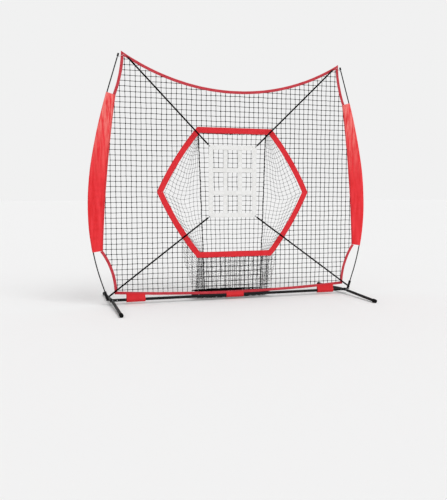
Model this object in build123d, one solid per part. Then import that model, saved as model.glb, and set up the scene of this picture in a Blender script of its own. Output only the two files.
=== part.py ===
from build123d import *
import os
from math import asin, atan2, ceil, cos, degrees, radians, sin

# Pitching target net: a fold-out steel base, two bowed rods, a netting face with a
# hexagonal mouth, a catch pocket behind it and a strike-zone frame on elastic cords.
# Millimetres. X to the right, Y to the back, Z up, origin on the floor under the middle.

# ---- Base: crossbar, brackets and folding legs ----
bracket_x = 1115.0  # the leg pivots' distance from the middle
bar_z = 42.0
bar_r = 12.5
bar_wall = 1.5
coupling_x = 370.0  # where the side bars meet the centre bar
butt_gap = 0.4  # between tubes that meet end to end

insert_clearance = 0.2
insert_wall = 1.5
insert_length = 140.0
spigot_length = 60.0
bolt_r = 2.5
bolt_clearance = 0.05
bolt_head_r = 4.5
bolt_head_height = 3.5
bolt_inset = 25.0  # from the side bar's outer end

button_r = 4.0
button_clearance = 0.1
button_stand_out = 4.0
button_inset = 30.0  # from the coupling
button_flange_r = 6.0
button_flange = 1.5
flange_clearance = 0.4  # between the button's flange and the tube's wall
clip_gap = 0.1  # between the spring strip and the insert
clip_under_button = 0.05
clip_thickness = 0.8
clip_width = 8.0
clip_length = 42.0

pivot_y = 36.0
pivot_z = 38.0
plate_half_width = 18.0
plate_thickness = 3.0
plate_clearance = 0.3
web_half = 12.0
lug_thickness = 5.0
lug_half_width = 10.0
rivet_r = 4.0
rivet_clearance = 0.05
rivet_head_r = 7.0
rivet_head = 2.5

leg_r = 12.5
leg_wall = 1.5
leg_length = 541.0  # from the pivot to the cap's end
leg_start = 22.0  # the tube's first end, from the pivot
leg_plug = 12.0
cap_r = 16.5
cap_length = 38.0
cap_end = 6.0
cap_rounding = 3.0
cap_clearance = 0.05
cap_flat = 0.8  # how much of the cap's round side is flattened against the floor

# ---- Rods: each bows outward, then in to its tip ----
rod_foot_out = 36.0  # from the leg pivots
rod_foot_x = bracket_x + rod_foot_out
rod_foot_z = 50.0
rod_r = 5.0
foot_lean = 18.2  # degrees outward at the socket
foot_run = 153.0
lower_bend_r = 2000.0
upper_bend_r = 2500.0
shoulder_lean = 10.5
shoulder_bend_r = 5200.0
tip_lean = 17.2
tip_run = 269.0
rod_sections = 3

socket_r = 11.0
socket_clearance = 0.1
socket_depth = 75.0
socket_floor = 6.0
gusset_top = 51.5
ferrule_clearance = 0.05
ferrule_wall = 0.75
ferrule_length = 60.0
tip_cap_r = 8.0
tip_cap_over = 10.0  # beyond the rod's end
tip_cap_bore = 16.0
tip_cap_clearance = 0.05

# ---- Netting face and its bound edge ----
net_thickness = 2.0
grid_across = 12  # openings in the widest row: each stands for a patch of the fine mesh
grid_strand = 10.0
smallest_opening = 0.06  # of a whole one, where the border trims it
hem_width = 25.0
hem_thickness = 4.0
cloth_gap = 0.3  # between neighbouring soft pieces

net_corner_in = 118.0  # from the leg pivots, as the next three
sleeve_top_in = 45.0
sleeve_foot_out = 82.0
bottom_corner_in = 35.0
net_corner = (bracket_x - net_corner_in, 2132.0)
sleeve_top = (bracket_x - sleeve_top_in, 1790.0)
sleeve_foot = (bracket_x + sleeve_foot_out, 470.0)
bottom_corner = (bracket_x - bottom_corner_in, 106.0)
top_sag = 277.0
upper_edge_sag = 14.0
sleeve_edge_bow = 18.0
lower_edge_sag = 29.0
bottom_bow = 38.0

sleeve_web = 2.4
sleeve_top_tilt = 15.0  # degrees, rising outward
sleeve_foot_tilt = -6.0
channel_clearance = 0.3
channel_wall = 1.2

tab_width = 165.0
outer_tab_in = 207.0  # from the leg pivots
outer_tab_x = bracket_x - outer_tab_in
tab_clearance = 0.4
tab_wall = 4.0
tab_neck = 3.0

mouth_top = (337.0, 1518.0)
mouth_side = (686.0, 974.0)
mouth_foot = (341.0, 414.0)
mouth_bow = 22.0
mouth_binding = 52.0

# ---- Catch pocket ----
pocket_depth = 130.0
pocket_back_half_top = 322.0
pocket_back_half_foot = 272.0
pocket_mouth_half_foot = 352.0  # the bag's half width in front, above its gathered bottom
pocket_offset = 18.0  # the bag hangs a little to the right
pocket_top_z = 1500.0
pocket_skin = 2.0
gather_y = 118.0
gather_half_length = 365.0
gather_height = 66.0
gather_depth = 58.0
gather_clear = 1.0  # above the floor
gather_rounding = 25.0

# ---- Strike-zone frame ----
target_width = 448.0
target_height = 637.0
target_centre = (-35.0, 1066.5)
target_y = -45.0
band_width = 40.0
band_thickness = 2.0
ring_inset = 9.0
ring_r = 8.0
ring_wire_r = 1.4
ring_hole_r = 2.2
windows = 3  # across, and up

# ---- Elastic cords, hooks and corner loops ----
cord_gap = 0.3  # between a cord's end and its ring or hook
upper_cord_d = 14.0
lower_cord_d = 14.0
hook_wire_r = 1.8
hook_hole_r = 2.5
upper_hook_r = 9.0
upper_hook_shank = 40.0
upper_hook_from_corner = 38.0
lower_hook_clearance = 0.7
lower_hook_z = 68.0
lower_hook_shank = 50.0
hook_tail = 8.0

loop_wire_r = 1.6
loop_clearance = 0.8
loop_below_tip = 26.0
loop_from_corner = 17.0

parts = {}


# ---- Plane geometry, in X and Z ----
def point(x, z, y=0.0):
    return Vector(x, y, z)


def both_sides(name, shape):
    """Adds a piece made for the right side, and its mirror image for the left."""
    parts["right_" + name] = shape
    parts["left_" + name] = mirror(shape, about=Plane.YZ)


def disc_at(origin, direction, radius):
    return Plane(origin=origin, z_dir=direction) * Circle(radius)


def round_bar(start, end, radius):
    run = end - start
    return extrude(disc_at(start, run, radius), amount=run.length, dir=run)


def wire_along(path, radius):
    return sweep(disc_at(path @ 0, path % 0, radius), path=path)


def turn_round(bar_radius, bar_axis, away, clearance, wire_radius):
    """The bend radius of a wire that passes round a bar, in a plane along `away` and Y."""
    slant = abs(away.dot(bar_axis))
    return bar_radius / (1 - slant**2) ** 0.5 + clearance + wire_radius


def slab(face, thickness, y=0.0):
    """A face drawn in the XZ plane, thickened evenly about the plane at y."""
    return Pos(0, y - thickness / 2, 0) * extrude(face, amount=thickness, dir=(0, 1, 0))


def polygon(points):
    return make_face(Polyline(*[point(x, z) for x, z in points], close=True))


class Loop:
    """A closed outline of straight or bowed sides, listed clockwise from the front."""

    def __init__(self, corners, bows):
        self.corners = [Vector(x, 0, z) for x, z in corners]
        self.bows = bows
        self.count = len(corners)
        steps = [self.corner(i + 1) - self.corner(i) for i in range(self.count)]
        self.along = [step.normalized() for step in steps]
        self.normals = [Vector(-d.Z, 0, d.X) for d in self.along]
        self.seams = {}

    def corner(self, i):
        return self.corners[i % self.count]

    def end_normal(self, i, end):
        """Side i's outward direction at its start (end -1) or at its finish (end 1)."""
        i %= self.count
        half = (self.corner(i + 1) - self.corner(i)).length / 2
        turned = end * 2 * atan2(self.bows[i], half)
        return self.normals[i] * cos(turned) + self.along[i] * sin(turned)

    def offset_corner(self, i, offset):
        before, after = self.end_normal(i - 1, 1), self.end_normal(i, -1)
        return self.corner(i) + (before + after) * (offset / (1 + before.dot(after)))

    def middle(self, i, offset=0.0):
        """The middle of side i, moved outward by its bow and by the offset."""
        halfway = (self.corner(i) + self.corner(i + 1)) * 0.5
        return halfway + self.normals[i] * (self.bows[i] + offset)

    def side(self, i, offset):
        start, end = self.offset_corner(i, offset), self.offset_corner(i + 1, offset)
        if self.bows[i] == 0:
            return Line(start, end)
        return ThreePointArc(start, self.middle(i, offset), end)

    def face(self, offset):
        sides = [self.side(i, offset) for i in range(self.count)]
        return make_face(Wire([side.edge() for side in sides]))

    def set_seam(self, i, tilt):
        """Lays the seam at corner i, and its mirror image, at a tilt instead of on the mitre."""
        x, z = cos(radians(tilt)), sin(radians(tilt))
        self.seams[i], self.seams[self.count - 1 - i] = Vector(x, 0, z), Vector(-x, 0, z)

    def mitre(self, i):
        """The direction of the seam at corner i."""
        halfway = self.end_normal(i - 1, 1) + self.end_normal(i, -1)
        return self.seams.get(i % self.count, halfway.normalized())

    def slit(self, i, width, reach):
        seam = self.mitre(i)
        corner = self.corner(i)
        turn = Rot(0, -degrees(atan2(seam.Z, seam.X)), 0)
        return Pos(corner.X, 0, corner.Z) * turn * Box(reach, 4 * hem_thickness, width)

    def band(self, width, thickness):
        """The bound edge: one strip for each side, parted at the seams."""
        ring = self.face(width / 2) - self.face(-width / 2)
        strips = slab(ring, thickness)
        for i in range(self.count):
            strips -= self.slit(i, cloth_gap, 4 * width)
        pieces = strips.solids()
        return [min(pieces, key=lambda s: s.distance_to(self.middle(i))) for i in range(self.count)]


def mirrored_outline(right_side):
    """Corners listed from the top right down, completed by their mirror images."""
    return right_side + [(-x, z) for x, z in reversed(right_side)]


net_loop = Loop(
    mirrored_outline([net_corner, sleeve_top, sleeve_foot, bottom_corner]),
    [-upper_edge_sag, sleeve_edge_bow, -lower_edge_sag, bottom_bow]
    + [-lower_edge_sag, sleeve_edge_bow, -upper_edge_sag, -top_sag],
)
UPPER_RIGHT, RIGHT_SLEEVE, LOWER_RIGHT, BOTTOM = range(4)
TOP = net_loop.count - 1
net_loop.set_seam(RIGHT_SLEEVE, sleeve_top_tilt)
net_loop.set_seam(RIGHT_SLEEVE + 1, sleeve_foot_tilt)

mouth_loop = Loop(
    mirrored_outline([mouth_top, mouth_side, mouth_foot]),
    [mouth_bow, mouth_bow, 0, mouth_bow, mouth_bow, 0],
)


# ---- The rod's path: each stretch is a straight run or a bend to a new lean ----
def rod_stretches():
    x, z, lean = rod_foot_x, rod_foot_z, radians(foot_lean)
    plan = [
        (None, foot_run),
        (lower_bend_r, 0.0),
        (upper_bend_r, -radians(shoulder_lean)),
        (shoulder_bend_r, -radians(tip_lean)),
        (None, tip_run),
    ]
    stretches = []
    for radius, value in plan:
        length = value if radius is None else radius * (lean - value)
        stretches.append((x, z, lean, radius, length))
        x, z, lean = along_stretch(stretches[-1], length)
    return stretches


def along_stretch(stretch, distance):
    x, z, lean, radius, _ = stretch
    if radius is None:
        return x + distance * sin(lean), z + distance * cos(lean), lean
    new_lean = lean - distance / radius
    return (
        x + radius * (cos(new_lean) - cos(lean)),
        z + radius * (sin(lean) - sin(new_lean)),
        new_lean,
    )


STRETCHES = rod_stretches()
ROD_LENGTH = sum(stretch[4] for stretch in STRETCHES)


def rod_at(distance):
    """The rod axis's point and upward direction at a distance from its foot."""
    for stretch in STRETCHES:
        if distance <= stretch[4] or stretch is STRETCHES[-1]:
            x, z, lean = along_stretch(stretch, distance)
            return point(x, z), Vector(sin(lean), 0, cos(lean))
        distance -= stretch[4]


def rod_path(start, end):
    edges, done = [], 0.0
    for stretch in STRETCHES:
        low, high = max(start, done), min(end, done + stretch[4])
        if stretch is STRETCHES[0]:
            low = start
        if stretch is STRETCHES[-1]:
            high = end
        if high - low > 1e-6:
            ends = [rod_at(low)[0], rod_at(high)[0]]
            if stretch[3] is None:
                edges.append(Line(*ends).edge())
            else:
                edges.append(ThreePointArc(ends[0], rod_at((low + high) / 2)[0], ends[1]).edge())
        done += stretch[4]
    return Wire(edges)


def rod_piece(start, end, radius):
    return wire_along(rod_path(start, end), radius)


# ---- Base ----
BOLT_X = bracket_x - plate_half_width - bolt_inset


def bolt_hole():
    return Pos(BOLT_X, 0, bar_z) * Rot(90, 0, 0) * Cylinder(bolt_r + bolt_clearance, 4 * bar_r)


def leg_direction():
    drop = pivot_z - (cap_r - cap_flat)
    fall = asin(drop / leg_length)
    return Vector(0, -cos(fall), -sin(fall))


def front_right_leg():
    pivot = Vector(bracket_x, -pivot_y, pivot_z)
    outward = leg_direction()

    def reach(distance):
        return pivot + outward * distance

    tube = round_bar(reach(leg_start), reach(leg_length - cap_end), leg_r)
    tube -= round_bar(reach(leg_start + leg_plug), reach(leg_length), leg_r - leg_wall)
    lug_run = leg_start + leg_plug / 2
    lug = Pos(bracket_x, -pivot_y - lug_run / 2, pivot_z) * Box(
        2 * lug_half_width, lug_run, lug_thickness
    )
    lug += Pos(pivot) * Cylinder(lug_half_width, lug_thickness)
    leg = tube + lug
    leg -= Pos(pivot) * Cylinder(rivet_r, 2 * lug_thickness)

    cap = round_bar(reach(leg_length - cap_length), reach(leg_length), cap_r)
    tip = cap.faces().sort_by(Axis.Y)[0]
    cap = fillet(tip.edges(), cap_rounding)
    cap -= round_bar(
        reach(leg_length - cap_length - 1), reach(leg_length - cap_end), leg_r + cap_clearance
    )
    floor_cut = Pos(bracket_x, -leg_length, -cap_r) * Box(4 * cap_r, 4 * cap_length, 2 * cap_r)
    return leg, cap - floor_cut


def right_bracket():
    plate_z = lug_thickness / 2 + plate_clearance + plate_thickness / 2
    plate_length = 2 * (pivot_y + plate_half_width)
    outline = Rot(0, 0, 90) * SlotOverall(plate_length, 2 * plate_half_width)
    plate = extrude(outline, amount=plate_thickness / 2, both=True)
    body = Pos(bracket_x, 0, pivot_z + plate_z) * plate
    body += Pos(bracket_x, 0, pivot_z - plate_z) * plate
    web_height = 2 * plate_z
    body += Pos(bracket_x, 0, pivot_z) * Box(2 * plate_half_width, 2 * web_half, web_height)
    inner = bracket_x - plate_half_width
    body += round_bar(point(inner, bar_z), point(bracket_x + plate_half_width / 2, bar_z), bar_r)
    spigot_r = bar_r - bar_wall - insert_clearance
    body += round_bar(point(inner - spigot_length, bar_z), point(bracket_x, bar_z), spigot_r)
    foot, lean = rod_at(0)
    gusset_low = pivot_z + plate_z
    gusset_end = rod_foot_x + socket_r
    gusset = Box(gusset_end - bracket_x, 2 * socket_r, gusset_top - gusset_low)
    body += Pos((gusset_end + bracket_x) / 2, 0, (gusset_top + gusset_low) / 2) * gusset
    body += round_bar(foot - lean * socket_floor, foot + lean * socket_depth, socket_r)
    body -= round_bar(foot, foot + lean * (socket_depth + 1), rod_r + socket_clearance)
    for side in (-1, 1):
        body -= Pos(bracket_x, side * pivot_y, pivot_z) * Cylinder(rivet_r, 8 * lug_thickness)
    body -= bolt_hole()
    return body


def leg_rivet(x, y):
    half_grip = lug_thickness / 2 + plate_clearance + plate_thickness
    shank = Cylinder(rivet_r - rivet_clearance, 2 * half_grip)
    head = Pos(0, 0, half_grip + rivet_head / 2) * Cylinder(rivet_head_r, rivet_head)
    head = fillet(head.edges().sort_by(Axis.Z)[-1], rivet_head / 2)
    return Pos(x, y, pivot_z) * (shank + head + mirror(head, about=Plane.XY))


def bar_tube(start_x, end_x):
    tube = round_bar(point(start_x, bar_z), point(end_x, bar_z), bar_r)
    return tube - round_bar(point(start_x - 1, bar_z), point(end_x + 1, bar_z), bar_r - bar_wall)


def button_hole(x):
    return Pos(x, 0, bar_z + bar_r) * Cylinder(button_r + button_clearance, 2 * bar_r)


def right_side_bar():
    end_x = bracket_x - plate_half_width - butt_gap
    return bar_tube(coupling_x + butt_gap / 2, end_x) - bolt_hole()


def centre_bar():
    end_x = coupling_x - butt_gap / 2
    bar = bar_tube(-end_x, end_x)
    for side in (-1, 1):
        bar -= button_hole(side * (coupling_x - button_inset))
    return bar


def right_insert():
    outer_r = bar_r - bar_wall - insert_clearance
    start, end = coupling_x - insert_length / 2, coupling_x + insert_length / 2
    insert = round_bar(point(start, bar_z), point(end, bar_z), outer_r)
    insert -= round_bar(point(start - 1, bar_z), point(end + 1, bar_z), outer_r - insert_wall)
    return insert - button_hole(coupling_x - button_inset)


INSERT_BORE_R = bar_r - bar_wall - insert_clearance - insert_wall
FLANGE_TOP = (INSERT_BORE_R**2 - button_flange_r**2) ** 0.5 - flange_clearance


def right_snap_button():
    x = coupling_x - button_inset
    stem_low = bar_z + FLANGE_TOP - button_flange
    stem_height = bar_z + bar_r + button_stand_out - stem_low
    stem = Pos(x, 0, stem_low + stem_height / 2) * Cylinder(button_r, stem_height)
    stem = fillet(stem.edges().sort_by(Axis.Z)[-1], button_r / 2)
    flange = Cylinder(button_flange_r, button_flange)
    return stem + Pos(x, 0, stem_low + button_flange / 2) * flange


def right_button_clip():
    """A V of spring strip: one leg lies in the insert, the other holds the button up."""
    x = coupling_x - button_inset
    low = bar_z - (INSERT_BORE_R**2 - (clip_width / 2) ** 2) ** 0.5 + clip_gap
    high = bar_z + FLANGE_TOP - button_flange - clip_under_button
    near, far = x + button_flange_r, x + button_flange_r - clip_length
    outline = [
        (near, low),
        (near, low + clip_thickness),
        (far + 3 * clip_thickness, low + clip_thickness),
        (near, high - clip_thickness),
        (near, high),
        (far, low + clip_thickness),
        (far, low),
    ]
    return slab(polygon(outline), clip_width)


def bar_bolt(x):
    reach = bar_r + bolt_head_height
    shank = Cylinder(bolt_r, 2 * reach)
    head = Pos(0, 0, bar_r + bolt_head_height / 2) * extrude(
        RegularPolygon(bolt_head_r, 6), amount=bolt_head_height / 2, both=True
    )
    bolt = shank + head + mirror(head, about=Plane.XY)
    return Pos(x, 0, bar_z) * Rot(90, 0, 0) * bolt


both_sides("bracket", right_bracket())
front_leg, front_cap = front_right_leg()
both_sides("front_leg", front_leg)
both_sides("front_leg_cap", front_cap)
both_sides("rear_leg", mirror(front_leg, about=Plane.XZ))
both_sides("rear_leg_cap", mirror(front_cap, about=Plane.XZ))
parts["leg_rivets"] = Compound(
    children=[leg_rivet(x * bracket_x, y * pivot_y) for x in (-1, 1) for y in (-1, 1)]
)
both_sides("side_bar", right_side_bar())
parts["centre_bar"] = centre_bar()
both_sides("insert", right_insert())
both_sides("snap_button", right_snap_button())
both_sides("button_clip", right_button_clip())
parts["bar_bolts"] = Compound(children=[bar_bolt(-BOLT_X), bar_bolt(BOLT_X)])


# ---- Rods ----
def ferrule(distance):
    start, end = distance - ferrule_length / 2, distance + ferrule_length / 2
    bore_r = rod_r + ferrule_clearance
    sleeve = rod_piece(start, end, bore_r + ferrule_wall)
    return sleeve - rod_piece(start - 1, end + 1, bore_r)


def right_tip_cap():
    tip, up = rod_at(ROD_LENGTH)
    cap = round_bar(tip - up * tip_cap_bore, tip + up * tip_cap_over, tip_cap_r)
    cap = fillet(cap.edges().sort_by(Axis.Z)[-1], tip_cap_r / 2)
    return cap - round_bar(tip - up * (tip_cap_bore + 1), tip, rod_r + tip_cap_clearance)


def corner_loop(hole):
    """A loop of cord round the rod at one end and through the hem's hole at the other."""
    pole_centre, up = rod_at(ROD_LENGTH - loop_below_tip)
    across = Vector(0, 1, 0)
    away = (hole - pole_centre).normalized()
    turn = turn_round(rod_r, up, away, loop_clearance, loop_wire_r)
    far = hole - away * turn
    path = Wire(
        [
            Line(pole_centre - across * turn, far - across * turn).edge(),
            ThreePointArc(far - across * turn, hole, far + across * turn).edge(),
            Line(far + across * turn, pole_centre + across * turn).edge(),
            ThreePointArc(
                pole_centre + across * turn, pole_centre - away * turn, pole_centre - across * turn
            ).edge(),
        ]
    )
    return wire_along(path, loop_wire_r)


section = ROD_LENGTH / rod_sections
for i, name in enumerate(["lower", "middle", "upper"][:rod_sections]):
    both_sides(f"rod_{name}", rod_piece(i * section, (i + 1) * section, rod_r))
joints = [ferrule(i * section) for i in range(1, rod_sections)]
parts["rod_ferrules"] = Compound(children=joints + [mirror(j, about=Plane.YZ) for j in joints])
both_sides("tip_cap", right_tip_cap())


# ---- Netting face, hems, sleeves and tabs ----
def hem_point(from_corner):
    """A point on the top hem's middle line, at a distance from its right end."""
    arc = net_loop.side(TOP, 0)
    return arc @ (1 - from_corner / arc.length)


def hem_hole(centre, radius):
    return Pos(centre) * Rot(90, 0, 0) * Cylinder(radius, 4 * hem_thickness)


HOOK_HOLE = hem_point(upper_hook_from_corner)
LOOP_HOLE = hem_point(loop_from_corner)

hems = net_loop.band(hem_width, hem_thickness)
top_hem = hems[TOP]
for hole in (HOOK_HOLE, LOOP_HOLE):
    for centre in (hole, Vector(-hole.X, 0, hole.Z)):
        top_hem -= hem_hole(centre, hook_hole_r)
parts["top_hem"] = top_hem
parts["bottom_hem"] = hems[BOTTOM]
both_sides("upper_hem", hems[UPPER_RIGHT])
both_sides("lower_hem", hems[LOWER_RIGHT])

both_sides("corner_loop", corner_loop(LOOP_HOLE))

hexagon = mouth_loop.band(mouth_binding, hem_thickness)
parts["mouth_binding"] = Compound(children=hexagon)


def netting(border):
    """The netting face between the hems and the mouth, drawn in by a border."""
    face = net_loop.face(-hem_width / 2 - cloth_gap - border)
    return face - mouth_loop.face(mouth_binding / 2 + cloth_gap + border)


def grid_openings():
    """Square openings over the whole face, trimmed by a strand's width along its edges."""
    box = netting(0).bounding_box()
    pitch = box.size.X / grid_across
    rows = ceil(box.size.Z / pitch)
    across = [box.center().X + (i - (grid_across - 1) / 2) * pitch for i in range(grid_across)]
    up = [box.center().Z + (k - (rows - 1) / 2) * pitch for k in range(rows)]
    side = pitch - grid_strand
    inner = slab(netting(grid_strand), 2 * net_thickness)
    squares = [Pos(x, 0, z) * Box(side, 4 * net_thickness, side) for x in across for z in up]
    trimmed = [piece for square in squares for piece in (inner & square).solids()]
    whole = side**2 * 2 * net_thickness
    return [piece for piece in trimmed if piece.volume > smallest_opening * whole]


parts["main_net"] = slab(netting(0), net_thickness) - grid_openings()


def right_sleeve():
    """Cloth from the net's edge out to a sewn channel that the rod runs in."""
    top, foot = net_loop.corner(RIGHT_SLEEVE), net_loop.corner(RIGHT_SLEEVE + 1)
    top_seam, foot_seam = net_loop.mitre(RIGHT_SLEEVE), net_loop.mitre(RIGHT_SLEEVE + 1)
    reach = 4 * hem_width
    top -= Vector(0, 0, cloth_gap)
    foot += Vector(0, 0, cloth_gap)
    corners = [
        top - top_seam * reach,
        top + top_seam * 2 * reach,
        foot + foot_seam * 2 * reach,
        foot - foot_seam * reach,
    ]
    trim = slab(polygon([(c.X, c.Z) for c in corners]), reach)
    tip, foot_end = rod_at(ROD_LENGTH)[0], rod_at(0)[0]
    back = Polyline(tip, point(0, tip.Z), point(0, foot_end.Z), foot_end)
    rod_side = make_face(Wire(rod_path(0, ROD_LENGTH).edges() + back.edges()))
    web = slab(rod_side - net_loop.face(-hem_width / 2), sleeve_web)
    bore_r = rod_r + ferrule_clearance + ferrule_wall + channel_clearance
    channel = rod_piece(foot_run, ROD_LENGTH - foot_run, bore_r + channel_wall)
    bore = rod_piece(0, ROD_LENGTH, bore_r)
    sleeve = ((web + channel) & trim) - bore
    return max(sleeve.solids(), key=lambda s: s.volume)


def bar_tab(x):
    """A band of webbing sewn to the bottom hem and wrapped round the crossbar."""
    wrap_r = bar_r + tab_clearance
    half = tab_width / 2
    wrap = round_bar(point(x - half, bar_z), point(x + half, bar_z), wrap_r + tab_wall)
    neck_top = net_loop.corner(BOTTOM).Z
    neck = Pos(x, 0, (bar_z + neck_top) / 2) * Box(tab_width, tab_neck, neck_top - bar_z)
    tab = wrap + neck
    tab -= round_bar(point(x - tab_width, bar_z), point(x + tab_width, bar_z), wrap_r)
    tab -= slab(net_loop.face(-hem_width / 2), 8 * bar_r)
    tab -= slab(net_loop.face(hem_width / 2 + cloth_gap), hem_thickness + 2 * cloth_gap)
    return max(tab.solids(), key=lambda s: s.volume)


both_sides("sleeve", right_sleeve())
parts["centre_tab"] = bar_tab(0)
both_sides("tab", bar_tab(outer_tab_x))

# ---- Catch pocket ----
SKIN_FRONT_Y = hem_thickness / 2 + cloth_gap
FOOT_Z = gather_clear + gather_height + cloth_gap
GATHER_FRONT = gather_y - pocket_skin - cloth_gap


def back_half_width(z):
    share = (z - FOOT_Z) / (pocket_top_z - FOOT_Z)
    return pocket_back_half_foot + share * (pocket_back_half_top - pocket_back_half_foot)


def back_y(z):
    share = (z - FOOT_Z) / (pocket_top_z - FOOT_Z)
    return gather_y + cloth_gap + share * (pocket_depth - gather_y)


def level_quad(points, z):
    return make_face(Polyline(*[Vector(x, y, z) for x, y in points], close=True))


def pocket_back():
    sections = []
    for z in (FOOT_Z, pocket_top_z):
        half, y = back_half_width(z), back_y(z)
        left, right = pocket_offset - half, pocket_offset + half
        skin = [(left, y), (right, y), (right, y + pocket_skin), (left, y + pocket_skin)]
        sections.append(level_quad(skin, z))
    return loft(sections, ruled=True)


def pocket_side(side):
    """The bag's side: from the mouth's edge back to the back panel's edge."""
    lower, upper = mouth_loop.middle(1), mouth_loop.middle(0)
    corners = [mouth_foot, (lower.X, lower.Z), mouth_side, (upper.X, upper.Z)]
    front_edge = [(pocket_mouth_half_foot + side * pocket_offset / 2, GATHER_FRONT, FOOT_Z)]
    front_edge += [(x - pocket_skin, SKIN_FRONT_Y, z) for x, z in corners]
    front_edge.append((mouth_top[0] + pocket_skin, SKIN_FRONT_Y, mouth_top[1] - mouth_binding / 2))
    sections = []
    for front_x, front_y, z in front_edge:
        back_x = back_half_width(z) + side * pocket_offset + cloth_gap
        skin = 2 * pocket_skin
        corners = [
            (front_x, front_y),
            (back_x, back_y(z) + pocket_skin),
            (back_x + skin, back_y(z) + pocket_skin),
            (front_x + skin, front_y),
        ]
        sections.append(level_quad([(side * x, y) for x, y in corners], z))
    return loft(sections, ruled=True)


def pocket_apron():
    """Below the mouth: the bag's front, from the binding down to the gathered bottom."""
    sections = []
    high = mouth_foot[1] - mouth_binding / 4
    places = [(FOOT_Z, GATHER_FRONT - pocket_skin, pocket_mouth_half_foot)]
    places.append((high, SKIN_FRONT_Y, mouth_foot[0] - mouth_binding / 4))
    for z, y, half in places:
        half -= pocket_skin
        skin = [(-half, y), (half, y), (half, y + pocket_skin), (-half, y + pocket_skin)]
        sections.append(level_quad(skin, z))
    return loft(sections, ruled=True)


def pocket_roof():
    """Netting from the mouth's top binding back to the back panel's top edge."""
    sections = []
    low_z = pocket_top_z + cloth_gap
    for y, z, half, middle in (
        (SKIN_FRONT_Y, mouth_top[1], mouth_top[0] - pocket_skin, 0.0),
        (back_y(pocket_top_z) + pocket_skin, low_z, pocket_back_half_top, pocket_offset),
    ):
        corners = [
            (middle - half, z),
            (middle + half, z),
            (middle + half, z + pocket_skin),
            (middle - half, z + pocket_skin),
        ]
        sections.append(make_face(Polyline(*[point(a, b, y) for a, b in corners], close=True)))
    return loft(sections, ruled=True)


def pocket_gather():
    """The netting bunched along the floor, where the bag is drawn together."""
    outline = Pos(0, gather_y, gather_clear + gather_height / 2) * Rot(0, 90, 0) * RectangleRounded(
        gather_height, gather_depth, gather_rounding
    )
    gather = extrude(outline, amount=gather_half_length, both=True)
    return Pos(pocket_offset / 2, 0, 0) * gather


parts["pocket_back"] = pocket_back()
parts["right_pocket_side"] = pocket_side(1)
parts["left_pocket_side"] = pocket_side(-1)
parts["pocket_roof"] = pocket_roof()
parts["pocket_apron"] = pocket_apron()
parts["pocket_gather"] = pocket_gather()


# ---- Strike-zone frame: three by three windows between sewn bands ----
def band(x0, x1, z0, z1, y):
    return Pos((x0 + x1) / 2, y, (z0 + z1) / 2) * Box(x1 - x0, band_thickness, z1 - z0)


LEFT, RIGHT = (target_centre[0] + side * target_width / 2 for side in (-1, 1))
LOW, HIGH = (target_centre[1] + side * target_height / 2 for side in (-1, 1))
COLUMN_STEP = (target_width - band_width) / windows
ROW_STEP = (target_height - band_width) / windows
BACK_LAYER_Y = target_y + band_thickness + cloth_gap


def ring_hole(x_side, z_side):
    x = target_centre[0] + x_side * (target_width / 2 - ring_inset)
    z = target_centre[1] + z_side * (target_height / 2 - ring_inset)
    return point(x, z, target_y)


def cord_ends(x_side, z_side):
    """The anchor of a cord's hook, and the unit vector from the frame's corner to it."""
    hole = ring_hole(x_side, z_side)
    if z_side > 0:
        seat = point(x_side * HOOK_HOLE.X, HOOK_HOLE.Z)
        away = Vector(seat.X - hole.X, 0, seat.Z - hole.Z).normalized()
        return seat - away * upper_hook_r, away, upper_hook_r, upper_hook_shank
    foot, lean = rod_at(0)
    up = (lower_hook_z - foot.Z) / lean.Z
    seat = foot + lean * up
    anchor = point(x_side * seat.X, seat.Z)
    away = Vector(anchor.X - hole.X, 0, anchor.Z - hole.Z).normalized()
    axis = Vector(x_side * lean.X, 0, lean.Z)
    turn = turn_round(socket_r, axis, away, lower_hook_clearance, hook_wire_r)
    return anchor, away, turn, lower_hook_shank


def corner_ring(x_side, z_side):
    hole = ring_hole(x_side, z_side)
    _, away, _, _ = cord_ends(x_side, z_side)
    centre = hole + away * ring_r
    return Plane(origin=centre, z_dir=away.cross(Vector(0, 1, 0))) * Torus(ring_r, ring_wire_r)


def hook(x_side, z_side):
    anchor, away, turn, shank = cord_ends(x_side, z_side)
    side = Vector(0, turn, 0)
    path = Wire(
        [
            Line(anchor - side - away * shank, anchor - side).edge(),
            ThreePointArc(anchor - side, anchor + away * turn, anchor + side).edge(),
            Line(anchor + side, anchor + side - away * hook_tail).edge(),
        ]
    )
    return wire_along(path, hook_wire_r)


def elastic_cord(x_side, z_side, diameter):
    anchor, away, turn, shank = cord_ends(x_side, z_side)
    hooked = anchor - Vector(0, turn, 0) - away * (shank + cord_gap)
    ringed = ring_hole(x_side, z_side) + away * (2 * ring_r + ring_wire_r + cord_gap)
    return round_bar(ringed, hooked, diameter / 2)


COLUMNS = [LEFT + i * COLUMN_STEP for i in range(windows + 1)]
ROWS = [LOW + i * ROW_STEP for i in range(windows + 1)]
outer = [band(COLUMNS[i], COLUMNS[i] + band_width, LOW, HIGH, target_y) for i in (0, windows)]
inside = (LEFT + band_width + cloth_gap, RIGHT - band_width - cloth_gap)
outer += [band(*inside, ROWS[i], ROWS[i] + band_width, target_y) for i in (0, windows)]
corners = [(x, z) for x in (-1, 1) for z in (-1, 1)]
for x_side, z_side in corners:
    hole = Pos(ring_hole(x_side, z_side)) * Rot(90, 0, 0) * Cylinder(ring_hole_r, band_width)
    outer = [piece - hole for piece in outer]
inner = [band(*inside, z, z + band_width, target_y) for z in ROWS[1:-1]]
inner += [band(x, x + band_width, LOW, HIGH, BACK_LAYER_Y) for x in COLUMNS[1:-1]]
parts["target_outer_bands"] = Compound(children=outer)
parts["target_inner_bands"] = Compound(children=inner)
parts["target_rings"] = Compound(children=[corner_ring(x, z) for x, z in corners])
parts["cord_hooks"] = Compound(children=[hook(x, z) for x, z in corners])
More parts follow.
